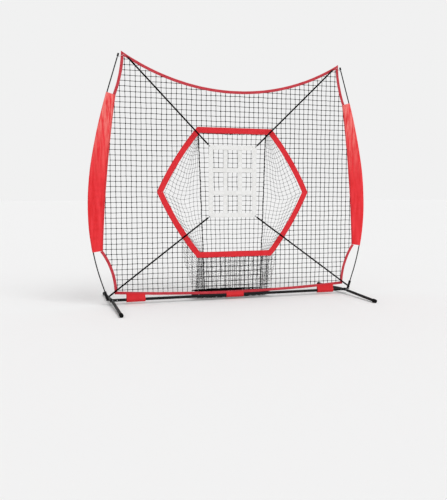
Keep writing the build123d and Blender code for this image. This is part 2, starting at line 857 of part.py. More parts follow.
for side_name, x_side in (("left", -1), ("right", 1)):
    parts[f"{side_name}_upper_cord"] = elastic_cord(x_side, 1, upper_cord_d)
    parts[f"{side_name}_lower_cord"] = elastic_cord(x_side, -1, lower_cord_d)

os.makedirs("parts", exist_ok=True)
for name, shape in parts.items():
    export_step(shape, f"parts/{name}.step")
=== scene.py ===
"""A pitching target net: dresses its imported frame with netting, cloth, webbing and cords.

Metres. X runs to the right, Y to the back and Z up, with the origin on the floor.
"""

import logging
import math
from collections.abc import Callable, Iterator
from contextlib import contextmanager
from dataclasses import dataclass
from enum import Enum

import bmesh
import bpy
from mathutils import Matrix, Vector, noise


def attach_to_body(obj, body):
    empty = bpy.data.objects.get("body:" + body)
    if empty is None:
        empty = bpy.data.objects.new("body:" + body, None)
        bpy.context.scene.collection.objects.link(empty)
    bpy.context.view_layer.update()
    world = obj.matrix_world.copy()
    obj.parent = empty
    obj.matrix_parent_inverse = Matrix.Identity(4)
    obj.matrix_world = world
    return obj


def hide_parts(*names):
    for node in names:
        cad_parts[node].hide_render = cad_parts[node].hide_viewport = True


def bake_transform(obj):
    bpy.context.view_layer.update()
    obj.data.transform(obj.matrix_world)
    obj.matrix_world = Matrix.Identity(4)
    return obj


log = logging.getLogger("target_net")

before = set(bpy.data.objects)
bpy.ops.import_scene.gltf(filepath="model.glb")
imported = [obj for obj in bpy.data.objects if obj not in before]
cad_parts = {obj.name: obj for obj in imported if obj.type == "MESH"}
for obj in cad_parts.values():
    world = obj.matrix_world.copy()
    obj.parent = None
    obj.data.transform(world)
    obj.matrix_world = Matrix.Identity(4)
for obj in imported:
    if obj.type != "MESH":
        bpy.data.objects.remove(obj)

# Fixes the noise behind every fold and slack string, so that each run gives the same shapes.
NOISE_SEED = 1

# Where a point of a flat piece lies on the object, and a yes or no about a point.
Place = Callable[[float, float], Vector]
Test = Callable[[Vector], bool]
Socket = bpy.types.NodeSocket


class Side(Enum):
    """The two sides of the net, each with the sign of its X."""

    LEFT = -1
    RIGHT = 1

    @property
    def word(self) -> str:
        """The side's name as nodes and pieces hold it."""
        return self.name.lower()


class Run(Enum):
    """The two directions in which a net's strings run."""

    UPRIGHT = 0
    ACROSS = 1


# ---- Finishes --------------------------------------------------------------------------------


def linear(hex_colour: str) -> tuple[float, float, float, float]:
    """Turns an sRGB hex colour into linear light.

    Args:
        hex_colour: Six hex digits after a hash.

    Returns:
        Red, green, blue and an alpha of one.
    """
    parts = [int(hex_colour[i : i + 2], 16) / 255 for i in (1, 3, 5)]
    light = [p / 12.92 if p <= 0.04045 else ((p + 0.055) / 1.055) ** 2.4 for p in parts]
    return (*light, 1.0)


def add_node(
    tree: bpy.types.NodeTree,
    kind: str,
    links: dict[str | int, Socket] | None = None,
    values: dict[str | int, object] | None = None,
    **settings: object,
) -> bpy.types.Node:
    """Adds a node with its settings, socket values and links.

    Args:
        tree: The tree that the node joins.
        kind: The node's type name.
        links: Sockets that feed the node's inputs.
        values: Constants for the node's inputs.
        **settings: The node's own properties.

    Returns:
        The new node.
    """
    node = tree.nodes.new(kind)
    for name, value in settings.items():
        setattr(node, name, value)
    for key, value in (values or {}).items():
        node.inputs[key].default_value = value
    for key, source in (links or {}).items():
        tree.links.new(source, node.inputs[key])
    return node


@dataclass(frozen=True)
class Finish:
    """What every finish shares: a name, two tones that it varies between, and a gloss."""

    name: str
    tone: str
    second_tone: str
    roughness: float = 0.5
    roughness_spread: float = 0.1
    mottle_size: float = 0.06
    metallic: float = 0.0
    sheen: float = 0.0
    coat: float = 0.0
    transmission: float = 0.0
    specular: float = 0.5
    bump_height: float = 0.0003
    stretch: tuple[float, float, float] = (1.0, 1.0, 1.0)

    def drawn_place(self, tree: bpy.types.NodeTree) -> Socket:
        """Object coordinates, drawn out along the axes that have a stretch under one.

        Args:
            tree: The material's node tree.

        Returns:
            The place that the finish's noises read.
        """
        where = add_node(tree, "ShaderNodeTexCoord").outputs["Object"]
        return add_node(
            tree, "ShaderNodeMapping", {"Vector": where}, {"Scale": self.stretch}
        ).outputs["Vector"]

    def height(self, tree: bpy.types.NodeTree) -> Socket | None:
        """The relief of the surface, or None where it has none."""
        return None

    def shade(self, tree: bpy.types.NodeTree, colour: Socket) -> Socket:
        """Lets a finish draw over its mottled colour."""
        return colour

    def material(self) -> bpy.types.Material:
        """Builds the finish.

        Returns:
            The material, made once and shared after that.
        """
        made = bpy.data.materials.get(self.name)
        if made:
            return made
        made = bpy.data.materials.new(self.name)
        made.use_nodes = True
        tree = made.node_tree
        tree.nodes.clear()
        mottle = add_node(
            tree,
            "ShaderNodeTexNoise",
            {"Vector": self.drawn_place(tree)},
            {"Scale": 1 / self.mottle_size, "Detail": 4.0, "Roughness": 0.6},
        ).outputs["Fac"]
        spread = add_node(
            tree,
            "ShaderNodeMapRange",
            {"Value": mottle},
            {"From Min": 0.3, "From Max": 0.7, "To Min": 0.0, "To Max": 1.0},
        ).outputs["Result"]
        colour = add_node(
            tree,
            "ShaderNodeMix",
            {0: spread},
            {6: linear(self.tone), 7: linear(self.second_tone)},
            data_type="RGBA",
        ).outputs[2]
        gloss = add_node(
            tree,
            "ShaderNodeMapRange",
            {"Value": mottle},
            {
                "From Min": 0.25,
                "From Max": 0.75,
                "To Min": self.roughness - self.roughness_spread,
                "To Max": self.roughness + self.roughness_spread,
            },
        ).outputs["Result"]
        shader = add_node(
            tree,
            "ShaderNodeBsdfPrincipled",
            {"Base Color": self.shade(tree, colour), "Roughness": gloss},
            {
                "Metallic": self.metallic,
                "Sheen Weight": self.sheen,
                "Coat Weight": self.coat,
                "Transmission Weight": self.transmission,
                "Specular IOR Level": self.specular,
            },
        )
        relief = self.height(tree)
        if relief:
            bump = add_node(
                tree,
                "ShaderNodeBump",
                {"Height": relief},
                {"Strength": 1.0, "Distance": self.bump_height},
            )
            tree.links.new(bump.outputs["Normal"], shader.inputs["Normal"])
        add_node(tree, "ShaderNodeOutputMaterial", {"Surface": shader.outputs["BSDF"]})
        return made


@dataclass(frozen=True)
class Grained(Finish):
    """A surface with a fine grain, such as a sprayed, cast or moulded one.

    A grain that is finer in truth is drawn at 1.5 mm, or it wouldn't show.
    """

    grain: float = 0.0015

    def height(self, tree: bpy.types.NodeTree) -> Socket:
        """Fine noise, drawn out along the grain where it has a direction.

        Args:
            tree: The material's node tree.

        Returns:
            The relief, from 0 to 1.
        """
        return add_node(
            tree,
            "ShaderNodeTexNoise",
            {"Vector": self.drawn_place(tree)},
            {"Scale": 1 / self.grain, "Detail": 3.0},
        ).outputs["Fac"]


@dataclass(frozen=True)
class Woven(Finish):
    """Cloth or webbing whose pattern follows its own UV map, in metres.

    Lockstitches of about 4 mm are drawn at 11 mm, so that they show.
    """

    thread: float = 0.002
    rib: float = 0.0
    stitch_rows: tuple[float, ...] = ()
    stitch_tone: str = "#B02028"
    stitch_width: float = 0.0022
    stitch_pitch: float = 0.011
    stitch_gap: float = -0.45
    # A painted highlight: a lighter tone laid in streaks over the first stretch of the cloth,
    # where light falls on it.
    painted_highlight_tone: str = "#FFFFFF"
    painted_highlight_to: float = 0.0
    streak_size: float = 0.02

    def across_along(self, tree: bpy.types.NodeTree) -> tuple[Socket, Socket]:
        """The distance across the cloth and the distance along it, in metres.

        Args:
            tree: The material's node tree.

        Returns:
            The two distances.
        """
        uv = add_node(tree, "ShaderNodeTexCoord").outputs["UV"]
        split = add_node(tree, "ShaderNodeSeparateXYZ", {"Vector": uv})
        return split.outputs["Y"], split.outputs["X"]

    def wave(self, tree: bpy.types.NodeTree, distance: Socket, pitch: float) -> Socket:
        """A sine of the distance that repeats at the pitch.

        Args:
            tree: The material's node tree.
            distance: The distance to follow.
            pitch: The distance of one turn.

        Returns:
            The wave, from -1 to 1.
        """
        turns = add_node(
            tree, "ShaderNodeMath", {0: distance}, {1: math.tau / pitch}, operation="MULTIPLY"
        )
        return add_node(tree, "ShaderNodeMath", {0: turns.outputs[0]}, operation="SINE").outputs[0]

    def height(self, tree: bpy.types.NodeTree) -> Socket:
        """Threads that pass over and under each other, and ribs where the webbing has them.

        Args:
            tree: The material's node tree.

        Returns:
            The relief.
        """
        across, along = self.across_along(tree)
        weave = add_node(
            tree,
            "ShaderNodeMath",
            {0: self.wave(tree, across, self.thread), 1: self.wave(tree, along, self.thread)},
            operation="MULTIPLY",
        ).outputs[0]
        if self.rib:
            ribs = self.wave(tree, across, self.rib)
            weave = add_node(
                tree, "ShaderNodeMath", {0: ribs, 1: weave}, operation="ADD"
            ).outputs[0]
        return weave

    def shade(self, tree: bpy.types.NodeTree, colour: Socket) -> Socket:
        """Paints a highlight in streaks over the cloth's first stretch, and draws its rows of
        stitches.

        Args:
            tree: The material's node tree.
            colour: The mottled colour of the cloth.

        Returns:
            The colour with its painted highlight and its stitches.
        """
        across, along = self.across_along(tree)
        # Painted highlight: the lighter tone, in streaks, full at the start and gone by the given
        # length along.
        if self.painted_highlight_to:
            highlight_share = add_node(
                tree,
                "ShaderNodeMapRange",
                {"Value": along},
                {"From Min": 0.0, "From Max": self.painted_highlight_to, "To Min": 1.0, "To Max": 0.0},
                interpolation_type="SMOOTHSTEP",
            ).outputs["Result"]
            streaks = add_node(
                tree,
                "ShaderNodeTexNoise",
                {"Vector": self.drawn_place(tree)},
                {"Scale": 1 / self.streak_size, "Detail": 2.0},
            ).outputs["Fac"]
            highlight_mask = add_node(
                tree,
                "ShaderNodeMapRange",
                {"Value": streaks, "To Max": highlight_share},
                {"From Min": 0.36, "From Max": 0.62, "To Min": 0.0},
            ).outputs["Result"]
            colour = add_node(
                tree,
                "ShaderNodeMix",
                {0: highlight_mask, 6: colour},
                {7: linear(self.painted_highlight_tone)},
                data_type="RGBA",
            ).outputs[2]
        if not self.stitch_rows:
            return colour
        dash = add_node(
            tree,
            "ShaderNodeMath",
            {0: self.wave(tree, along, self.stitch_pitch)},
            {1: self.stitch_gap},
            operation="GREATER_THAN",
        ).outputs[0]
        for row in self.stitch_rows:
            near = add_node(
                tree,
                "ShaderNodeMath",
                {0: across},
                {1: row, 2: self.stitch_width / 2},
                operation="COMPARE",
            ).outputs[0]
            mask = add_node(
                tree, "ShaderNodeMath", {0: near, 1: dash}, operation="MULTIPLY"
            ).outputs[0]
            colour = add_node(
                tree,
                "ShaderNodeMix",
                {0: mask, 6: colour},
                {7: linear(self.stitch_tone)},
                data_type="RGBA",
            ).outputs[2]
        return colour


@dataclass(frozen=True)
class Braided(Woven):
    """A round braid whose strands cross at a slant, on the cord's own UV map."""

    length: float = 1.0
    strands: int = 8

    def height(self, tree: bpy.types.NodeTree) -> Socket:
        """Diamonds where the strands of the braid cross.

        Args:
            tree: The material's node tree.

        Returns:
            The relief.
        """
        around, along = self.across_along(tree)
        turned = []
        for slant in (1, -1):
            lift = add_node(
                tree,
                "ShaderNodeMath",
                {0: along},
                {1: math.tau * self.length / self.thread},
                operation="MULTIPLY",
            ).outputs[0]
            twist = add_node(
                tree,
                "ShaderNodeMath",
                {0: around, 2: lift},
                {1: math.tau * slant * self.strands},
                operation="MULTIPLY_ADD",
            ).outputs[0]
            turned.append(
                add_node(tree, "ShaderNodeMath", {0: twist}, operation="SINE").outputs[0]
            )
        return add_node(
            tree, "ShaderNodeMath", {0: turned[0], 1: turned[1]}, operation="MAXIMUM"
        ).outputs[0]


# Powder-coated steel tube: sprayed and baked black polyester, satin, with a fine orange peel.
POWDER_COAT = Grained(
    "powder_coated_steel",
    "#0C0C0D",
    "#161618",
    roughness=0.5,
    roughness_spread=0.08,
    mottle_size=0.09,
    specular=0.12,
    bump_height=0.00012,
)
# Zinc-plated steel: bright plating over turned or pressed steel, a cool grey with soft glints.
ZINC_PLATE = Grained(
    "zinc_plated_steel",
    "#B4B8BD",
    "#9DA2A8",
    roughness=0.34,
    roughness_spread=0.1,
    mottle_size=0.02,
    metallic=1.0,
    bump_height=0.00005,
)
# Moulded rubber: butyl cap with a dull skin that scatters light.
RUBBER = Grained(
    "moulded_rubber",
    "#080808",
    "#101011",
    roughness=0.8,
    roughness_spread=0.08,
    mottle_size=0.03, specular=0.1, bump_height=0.0002
)
# Pultruded fibreglass: glass strands in black resin, with faint streaks along the rod.
FIBREGLASS = Grained(
    "pultruded_fibreglass",
    "#0E0F10",
    "#1C1D1F",
    roughness=0.45,
    roughness_spread=0.1,
    mottle_size=0.05,
    specular=0.15,
    bump_height=0.00012,
    grain=0.002,
    stretch=(1.0, 1.0, 0.04),
)
# Injection-moulded polypropylene: black, semi-matt, with a slight spark texture.
MOULDED_PLASTIC = Grained(
    "moulded_polypropylene",
    "#080809",
    "#101011",
    roughness=0.55,
    roughness_spread=0.08,
    mottle_size=0.03,
    specular=0.12,
    bump_height=0.0001,
)
# Knotless polyethylene netting: black braided twine, matt, with a swelling at each crossing.
NET_TWINE = Grained(
    "knotless_netting_twine",
    "#050506",
    "#0C0C0D",
    roughness=0.8,
    roughness_spread=0.1,
    mottle_size=0.11,
    specular=0.08,
    bump_height=0.0004,
    grain=0.0022,
)
# The pocket's sides: the same twine, thinner, and dusted grey where balls rub it.
POCKET_TWINE = Grained(
    "pocket_netting_twine",
    "#141416",
    "#26272A",
    roughness=0.76,
    roughness_spread=0.1,
    mottle_size=0.09,
    specular=0.2,
    bump_height=0.0004,
    grain=0.0022,
)
# Netting gathered on the floor: so many layers pressed together that little light gets in.
GATHERED_NET = Grained(
    "gathered_netting",
    "#030303",
    "#0B0B0C",
    roughness=0.9,
    roughness_spread=0.05,
    mottle_size=0.012,
    specular=0.05,
    bump_height=0.003,
    grain=0.007,
)
# Oxford polyester cloth: plain weave, with a pink-red painted highlight at the top and in streaks
# on its folds.
# Its 0.5 mm threads are drawn at 3 mm.
# Its mottle, drawn out along the sleeve from a deep to a light red, is painted fold highlight too.
SLEEVE_CLOTH = Woven(
    "oxford_polyester_cloth",
    "#DA0914",
    "#F0363E",
    roughness=0.62,
    roughness_spread=0.1,
    mottle_size=0.04,
    sheen=0.06,
    specular=0.3,
    bump_height=0.00025,
    thread=0.003,
    stretch=(1.6, 1.0, 0.2),
    stitch_rows=(0.004, 0.011, 0.259, 0.266),
    stitch_tone="#A01820",
    stitch_width=0.0045,
    painted_highlight_tone="#F87F79",
    painted_highlight_to=0.8,
    streak_size=0.026,
)
# The tabs' cloth: the same Oxford weave, painted a deeper red for shade, without the painted
# highlight.
# Its threads are drawn at the same 3 mm.
TAB_CLOTH = Woven(
    "oxford_tab_cloth",
    "#CB101B",
    "#D5212A",
    roughness=0.62,
    roughness_spread=0.1,
    mottle_size=0.05,
    sheen=0.05,
    specular=0.3,
    bump_height=0.00025,
    thread=0.003,
)
# Polyester binding tape folded over the net's edge: tight rib weave, duller than the cloth.
# Its 0.5 mm threads are drawn at 3 mm and its 1 mm ribs at 5 mm.
EDGE_TAPE = Woven(
    "polyester_binding_tape",
    "#C02B37",
    "#D2434E",
    roughness=0.7,
    roughness_spread=0.08,
    mottle_size=0.05,
    sheen=0.05,
    specular=0.3,
    bump_height=0.0003,
    thread=0.003,
    rib=0.005,
    stitch_rows=(0.004, 0.0155),
    stitch_tone="#8E1F2A",
)
# Polyester webbing round the mouth: heavy rib weave, bright red, two rows of lockstitch.
# Its 1 mm threads are drawn at 4 mm and its 2 mm ribs at 6.5 mm.
MOUTH_WEBBING = Woven(
    "polyester_mouth_webbing",
    "#DB1622",
    "#E52A35",
    roughness=0.64,
    roughness_spread=0.08,
    mottle_size=0.07,
    sheen=0.05,
    specular=0.3,
    bump_height=0.0004,
    thread=0.004,
    rib=0.0065,
    stitch_rows=(0.005, 0.047),
    stitch_tone="#A81A24",
)
# White polypropylene webbing: flat tubular weave, slightly shiny, with grey in its grooves.
# Its 1 mm threads are drawn at 4 mm and its 2 mm ribs at 6 mm.
WHITE_WEBBING = Woven(
    "white_polypropylene_webbing",
    "#F0F0EF",
    "#E6E6E4",
    roughness=0.55,
    roughness_spread=0.08,
    mottle_size=0.05,
    sheen=0.05,
    bump_height=0.0003,
    thread=0.004,
    rib=0.006,
    stitch_rows=(0.004, 0.036),
    stitch_tone="#DADAD8",
)
# Vinyl-dipped wire: galvanised hooks and rings under a smooth, slightly glossy black skin.
DIPPED_WIRE = Grained(
    "vinyl_dipped_wire",
    "#080809",
    "#111112",
    roughness=0.42,
    roughness_spread=0.08,
    mottle_size=0.02, coat=0.08, specular=0.15
)
# Clear polyurethane cord: extruded, pale, smooth and half see-through.
CLEAR_CORD = Grained(
    "clear_polyurethane_cord",
    "#F2F3F4",
    "#E6E8EA",
    roughness=0.22,
    roughness_spread=0.06,
    mottle_size=0.03,
    transmission=0.6,
    bump_height=0.00005,
)
# Matt studio paper: an even pale grey.
STUDIO_PAPER = Grained("matt_studio_paper",
    "#F1F1F1",
    "#F1F1F1",
    roughness=0.95,
    roughness_spread=0.0,
    mottle_size=1.0, bump_height=0.0)


def dress(piece: bpy.types.Object, finish: Finish) -> None:
    """Gives a piece its finish, in place of any that it had."""
    piece.data.materials.clear()
    piece.data.materials.append(finish.material())


# ---- Work at the bench ------------------------------------------------------------------------

# Points nearer to each other than this are one point, in metres.
TOUCHING = 0.000001
# The sides of a turned piece, and the angle past which its edges stay sharp, in degrees.
TURNED_SIDES, TURNED_EDGE = 20, 35
# The share of a cloth's thickness that its edges are rounded by, and its own sharp angle.
CLOTH_ROUNDING, CLOTH_EDGE = 0.3, 60


def lay_down_tools() -> None:
    """Leaves edit mode and deselects everything."""
    if bpy.context.object and bpy.context.object.mode != "OBJECT":
        bpy.ops.object.mode_set(mode="OBJECT")
    bpy.ops.object.select_all(action="DESELECT")


def pick(piece: bpy.types.Object) -> None:
    """Makes a piece the only selected one, and the active one.

    Args:
        piece: The piece to work on.
    """
    lay_down_tools()
    piece.select_set(True)
    bpy.context.view_layer.objects.active = piece


def name_active(name: str) -> bpy.types.Object:
    """Names the active object and its data, and returns it.

    Args:
        name: The name.

    Returns:
        The active object.
    """
    piece = bpy.context.object
    piece.name = piece.data.name = name
    return piece


@contextmanager
def opened(piece: bpy.types.Object) -> Iterator[None]:
    """Opens a piece in edit mode with all of it selected, and closes it again.

    Args:
        piece: The piece to open.

    Yields:
        Nothing, while the piece is open.
    """
    pick(piece)
    bpy.ops.object.mode_set(mode="EDIT")
    bpy.ops.mesh.select_all(action="SELECT")
    yield
    bpy.ops.object.mode_set(mode="OBJECT")


def add_grid(name: str, columns: int, rows: int) -> bpy.types.Object:
    """Adds a flat grid of unit cells, with its first corner at the origin.

    Args:
        name: The piece's name.
        columns: Cells along X.
        rows: Cells along Y.

    Returns:
        The grid, with a UV map.
    """
    lay_down_tools()
    bpy.ops.mesh.primitive_grid_add(
        x_subdivisions=columns, y_subdivisions=rows, size=1, location=(columns / 2, rows / 2, 0)
    )
    bpy.ops.transform.resize(value=(columns, rows, 1))
    bpy.ops.object.transform_apply(location=True, rotation=True, scale=True)
    return name_active(name)


def modify(piece: bpy.types.Object, kind: str, **settings: object) -> None:
    """Adds a modifier with its settings and applies it.

    Args:
        piece: The piece, whose mesh changes.
        kind: The modifier's type.
        **settings: The modifier's own properties.
    """
    pick(piece)
    modifier = piece.modifiers.new(kind.lower(), kind)
    for key, value in settings.items():
        setattr(modifier, key, value)
    bpy.ops.object.modifier_apply(modifier=modifier.name)


def join(name: str, pieces: list[bpy.types.Object]) -> bpy.types.Object:
    """Joins pieces into one of that name.

    Args:
        name: The name of the whole.
        pieces: The pieces, which are used up.

    Returns:
        The whole.
    """
    lay_down_tools()
    for piece in pieces:
        piece.select_set(True)
    bpy.context.view_layer.objects.active = pieces[0]
    if len(pieces) > 1:
        bpy.ops.object.join()
    return name_active(name)


def seal(piece: bpy.types.Object) -> None:
    """Merges the points where surfaces meet, and turns every face outward.

    Args:
        piece: The piece, whose mesh changes.
    """
    with opened(piece):
        bpy.ops.mesh.remove_doubles(threshold=TOUCHING)
        bpy.ops.mesh.normals_make_consistent(inside=False)


def smooth(piece: bpy.types.Object, angle: float) -> None:
    """Shades a piece smooth, but for edges sharper than the angle in degrees."""
    pick(piece)
    bpy.ops.object.shade_smooth_by_angle(angle=math.radians(angle))


def turn(
    name: str, stations: list[tuple[float, float]], start: Vector, along: Vector
) -> bpy.types.Object:
    """Makes a round piece like work on a lathe.

    Args:
        name: The piece's name.
        stations: Distances along the axis, each with the radius there.
        start: Where the distance is zero.
        along: The axis's direction.

    Returns:
        The piece, closed at both ends.
    """
    lay_down_tools()
    distance, radius = stations[0]
    bpy.ops.mesh.primitive_circle_add(
        vertices=TURNED_SIDES, radius=radius, fill_type="NGON", location=(0, 0, distance)
    )
    bpy.ops.object.transform_apply(location=True)
    piece = name_active(name)
    with opened(piece):
        for next_distance, next_radius in stations[1:]:
            step = {"value": (0, 0, next_distance - distance)}
            bpy.ops.mesh.extrude_region_move(TRANSFORM_OT_translate=step)
            growth = next_radius / radius
            middle = (0, 0, next_distance)
            bpy.ops.transform.resize(value=(growth, growth, 1), center_override=middle)
            distance, radius = next_distance, next_radius
        bpy.ops.mesh.select_all(action="SELECT")
        bpy.ops.mesh.normals_make_consistent(inside=False)
    piece.location = start
    piece.rotation_euler = along.to_track_quat("Z", "Y").to_euler()
    bpy.ops.object.transform_apply(location=True, rotation=True, scale=True)
    smooth(piece, TURNED_EDGE)
    return piece


def ripple(at: Vector, size: float, seed: float = 0.0) -> Vector:
    """Even, repeatable noise about a point, with features of about the given size."""
    return noise.noise_vector(at / size + Vector((seed, 2 * seed, -seed)))


def slack(at: Vector, size: float, seed: float, reach: tuple[float, float, float]) -> Vector:
    """A step of even noise, as ripple gives it, that goes as far as the reach along each axis."""
    return Vector(step * most for step, most in zip(ripple(at, size, seed), reach))


def eased(share: float) -> float:
    """A share from 0 to 1 that starts and ends gently."""
    return share * share * (3 - 2 * share)


def length_of(points: list[Vector]) -> float:
    """The length of the line through the points."""
    return sum((b - a).length for a, b in zip(points, points[1:]))


def stand(at: Vector, y: float = 0.0, sign: int = 1) -> Vector:
    """Stands a point of the net's plane up at a depth, on its own side or mirrored."""
    return Vector((sign * at.x, y, at.y))


def make_cloth(
    name: str, cells: tuple[int, int], size: tuple[float, float], place: Place, thickness: float
) -> bpy.types.Object:
    """Makes a strip of cloth with a real thickness, rounded edges and a UV map in metres.

    Args:
        name: The piece's name.
        cells: Cells along the strip and across it.
        size: The flat length and width in metres, which the UV map takes.
        place: Where the cloth's point lies, from its shares along and across.
        thickness: The cloth's thickness.

    Returns:
        The strip.
    """
    strip = add_grid(name, *cells)
    for vertex in strip.data.vertices:
        vertex.co = place(vertex.co.x / cells[0], vertex.co.y / cells[1])
    for loop in strip.data.uv_layers.active.data:
        loop.uv = (loop.uv[0] * size[0], loop.uv[1] * size[1])
    modify(strip, "SOLIDIFY", thickness=thickness, offset=0.0, use_even_offset=True)
    rounding = thickness * CLOTH_ROUNDING
    modify(strip, "BEVEL", width=rounding, segments=2, limit_method="ANGLE")
    smooth(strip, CLOTH_EDGE)
    return strip


# ---- The net's plane --------------------------------------------------------------------------

# An edge that bows less than this is straight, and the chords that a length is added up from.
STRAIGHT, CHORDS = 1e-7, 16


@dataclass(frozen=True)
class Arc:
    """An edge through three points of the net's plane."""

    start: Vector
    middle: Vector
    end: Vector

    def at(self, share: float) -> Vector:
        """The point at a share of the way along.

        Args:
            share: From 0 at the start to 1 at the end.

        Returns:
            The point, in the net's plane.
        """
        a, b = self.middle - self.start, self.end - self.start
        bow = 2 * (a.x * b.y - a.y * b.x)
        if abs(bow) < STRAIGHT:
            return self.start.lerp(self.end, share)
        centre = self.start + Vector(
            (
                (b.y * a.length_squared - a.y * b.length_squared) / bow,
                (a.x * b.length_squared - b.x * a.length_squared) / bow,
            )
        )
        first, mid, last = (
            math.atan2(p.y - centre.y, p.x - centre.x) for p in (self.start, self.middle, self.end)
        )
        sweep, half = (last - first) % math.tau, (mid - first) % math.tau
        if half > sweep:
            sweep -= math.tau
        angle = first + share * sweep
        radius = (self.start - centre).length
        return centre + radius * Vector((math.cos(angle), math.sin(angle)))

    @property
    def length(self) -> float:
        """The edge's length, over short chords."""
        return length_of([self.at(i / CHORDS) for i in range(CHORDS + 1)])


@dataclass(frozen=True)
class Outline:
    """A closed outline of bowed sides, whose corners run clockwise from the front."""

    corners: tuple[tuple[float, float], ...]
    bows: tuple[float, ...]

    def corner(self, i: int) -> Vector:
        """Corner i, counted round the outline."""
        return Vector(self.corners[i % len(self.corners)])

    def normal(self, i: int) -> Vector:
        """The outward direction of side i."""
        along = (self.corner(i + 1) - self.corner(i)).normalized()
        return Vector((-along.y, along.x))

    def end_normal(self, i: int, end: int) -> Vector:
        """The outward direction of side i at its start (end -1) or at its finish (end 1).

        Args:
            i: The side's number.
            end: Which end of the side.

        Returns:
            The direction, of length one.
        """
        step = self.corner(i + 1) - self.corner(i)
        turned = end * 2 * math.atan2(self.bows[i % len(self.bows)], step.length / 2)
        return self.normal(i) * math.cos(turned) + step.normalized() * math.sin(turned)

    def offset_corner(self, i: int, offset: float) -> Vector:
        """Corner i of the outline moved outward by the offset."""
        before, after = self.end_normal(i - 1, 1), self.end_normal(i, -1)
        return self.corner(i) + (before + after) * (offset / (1 + before.dot(after)))

    def side(self, i: int, offset: float) -> Arc:
        """Side i of the outline moved outward by the offset.

        Args:
            i: The side's number.
            offset: How far out, in metres; inward below zero.

        Returns:
            The side as an arc.
        """
        halfway = (self.corner(i) + self.corner(i + 1)) / 2
        middle = halfway + self.normal(i) * (self.bows[i] + offset)
        return Arc(self.offset_corner(i, offset), middle, self.offset_corner(i + 1, offset))

    def points(self, offset: float, steps: int) -> list[Vector]:
        """The offset outline as short chords, that many to a side."""
        sides = [self.side(i, offset) for i in range(len(self.corners))]
        return [side.at(k / steps) for side in sides for k in range(steps)]


def both_halves(right: list[tuple[float, float]]) -> tuple[tuple[float, float], ...]:
    """Corners from the top right down, and their mirror images back up."""
    return tuple(right + [(-x, z) for x, z in reversed(right)])


def edges_of(loop: list[Vector]) -> Iterator[tuple[Vector, Vector]]:
    """The edges of a closed loop, each as its two points."""
    return zip(loop, loop[1:] + loop[:1])


def holds(loop: list[Vector], point: Vector) -> bool:
    """True if the point lies within the closed loop.

    Args:
        loop: The loop's points.
        point: The point to test.

    Returns:
        True within, False beyond.
    """
    inside = False
    for a, b in edges_of(loop):
        if (a.y > point.y) != (b.y > point.y):
            crossing = a.x + (point.y - a.y) * (b.x - a.x) / (b.y - a.y)
            inside ^= point.x < crossing
    return inside


HEM_WIDTH = 0.025
WEBBING_WIDTH = 0.052
NET = Outline(
    both_halves([(0.997, 2.132), (1.070, 1.790), (1.197, 0.470), (1.080, 0.106)]),
    (-0.014, 0.018, -0.029, 0.038, -0.029, 0.018, -0.014, -0.277),
)
MOUTH = Outline(
    both_halves([(0.337, 1.518), (0.686, 0.974), (0.341, 0.414)]),
    (0.022, 0.022, 0.0, 0.022, 0.022, 0.0),
)


@dataclass(frozen=True)
class RodPath:
    """The right rod's axis: a straight foot, three bends inward and a straight tip."""

    foot: tuple[float, float] = (1.151, 0.050)
    lean: float = math.radians(18.2)
    foot_run: float = 0.153
    bends: tuple[tuple[float, float], ...] = ((2.0, 0.0), (2.5, -10.5), (5.2, -17.2))
    tip_run: float = 0.269

    def stretches(self) -> Iterator[tuple[Vector, float, float, float]]:
        """Each stretch's first point, lean, bend radius (0 if straight) and length.

        Yields:
            The stretches from the foot up.
        """
        at, lean = Vector(self.foot), self.lean
        plan = [(0.0, self.foot_run)] + list(self.bends) + [(0.0, self.tip_run)]
        for radius, value in plan:
            length = radius * (lean - math.radians(value)) if radius else value
            yield at, lean, radius, length
            at, lean = self.along(at, lean, radius, length)

    @staticmethod
    def along(at: Vector, lean: float, radius: float, run: float) -> tuple[Vector, float]:
        """The point and lean after a run along one stretch.

        Args:
            at: The stretch's first point.
            lean: The lean there, in radians from upright.
            radius: The bend's radius, or 0 for a straight stretch.
            run: How far to go.

        Returns:
            The new point and lean.
        """
        if not radius:
            return at + run * Vector((math.sin(lean), math.cos(lean))), lean
        new = lean - run / radius
        step = Vector((math.cos(new) - math.cos(lean), math.sin(lean) - math.sin(new)))
        return at + radius * step, new

    @property
    def length(self) -> float:
        """The rod's whole length."""
        return sum(stretch[3] for stretch in self.stretches())

    def at(self, distance: float) -> Vector:
        """The axis's point at a distance from its foot.

        Args:
            distance: The distance along the axis.

        Returns:
            The point, in the net's plane.
        """
        for at, lean, radius, length in self.stretches():
            if distance <= length:
                break
            distance -= length
        else:
            distance += length
        return self.along(at, lean, radius, distance)[0]


ROD = RodPath()


# ---- Netting ----------------------------------------------------------------------------------

# How near to a line or a crossing a point counts as on it, and one nudge over it, in cells.
ON_LINE, ON_PART, NUDGE = 1e-3, 0.01, 1e-4
# Cuts in a string between two crossings, for its swellings.
CUTS = 2


@dataclass(frozen=True)
class Twine:
    """Netting twine, which swells where two strings are braided through each other."""

    radius: float
    joint_radius: float
    joint_reach: float = 0.14
    covered_share: float = 0.5
    finish: Finish = NET_TWINE


def near_whole(value: float) -> bool:
    """True if the value is a whole number, within a hair."""
    return abs(value - round(value)) < ON_LINE


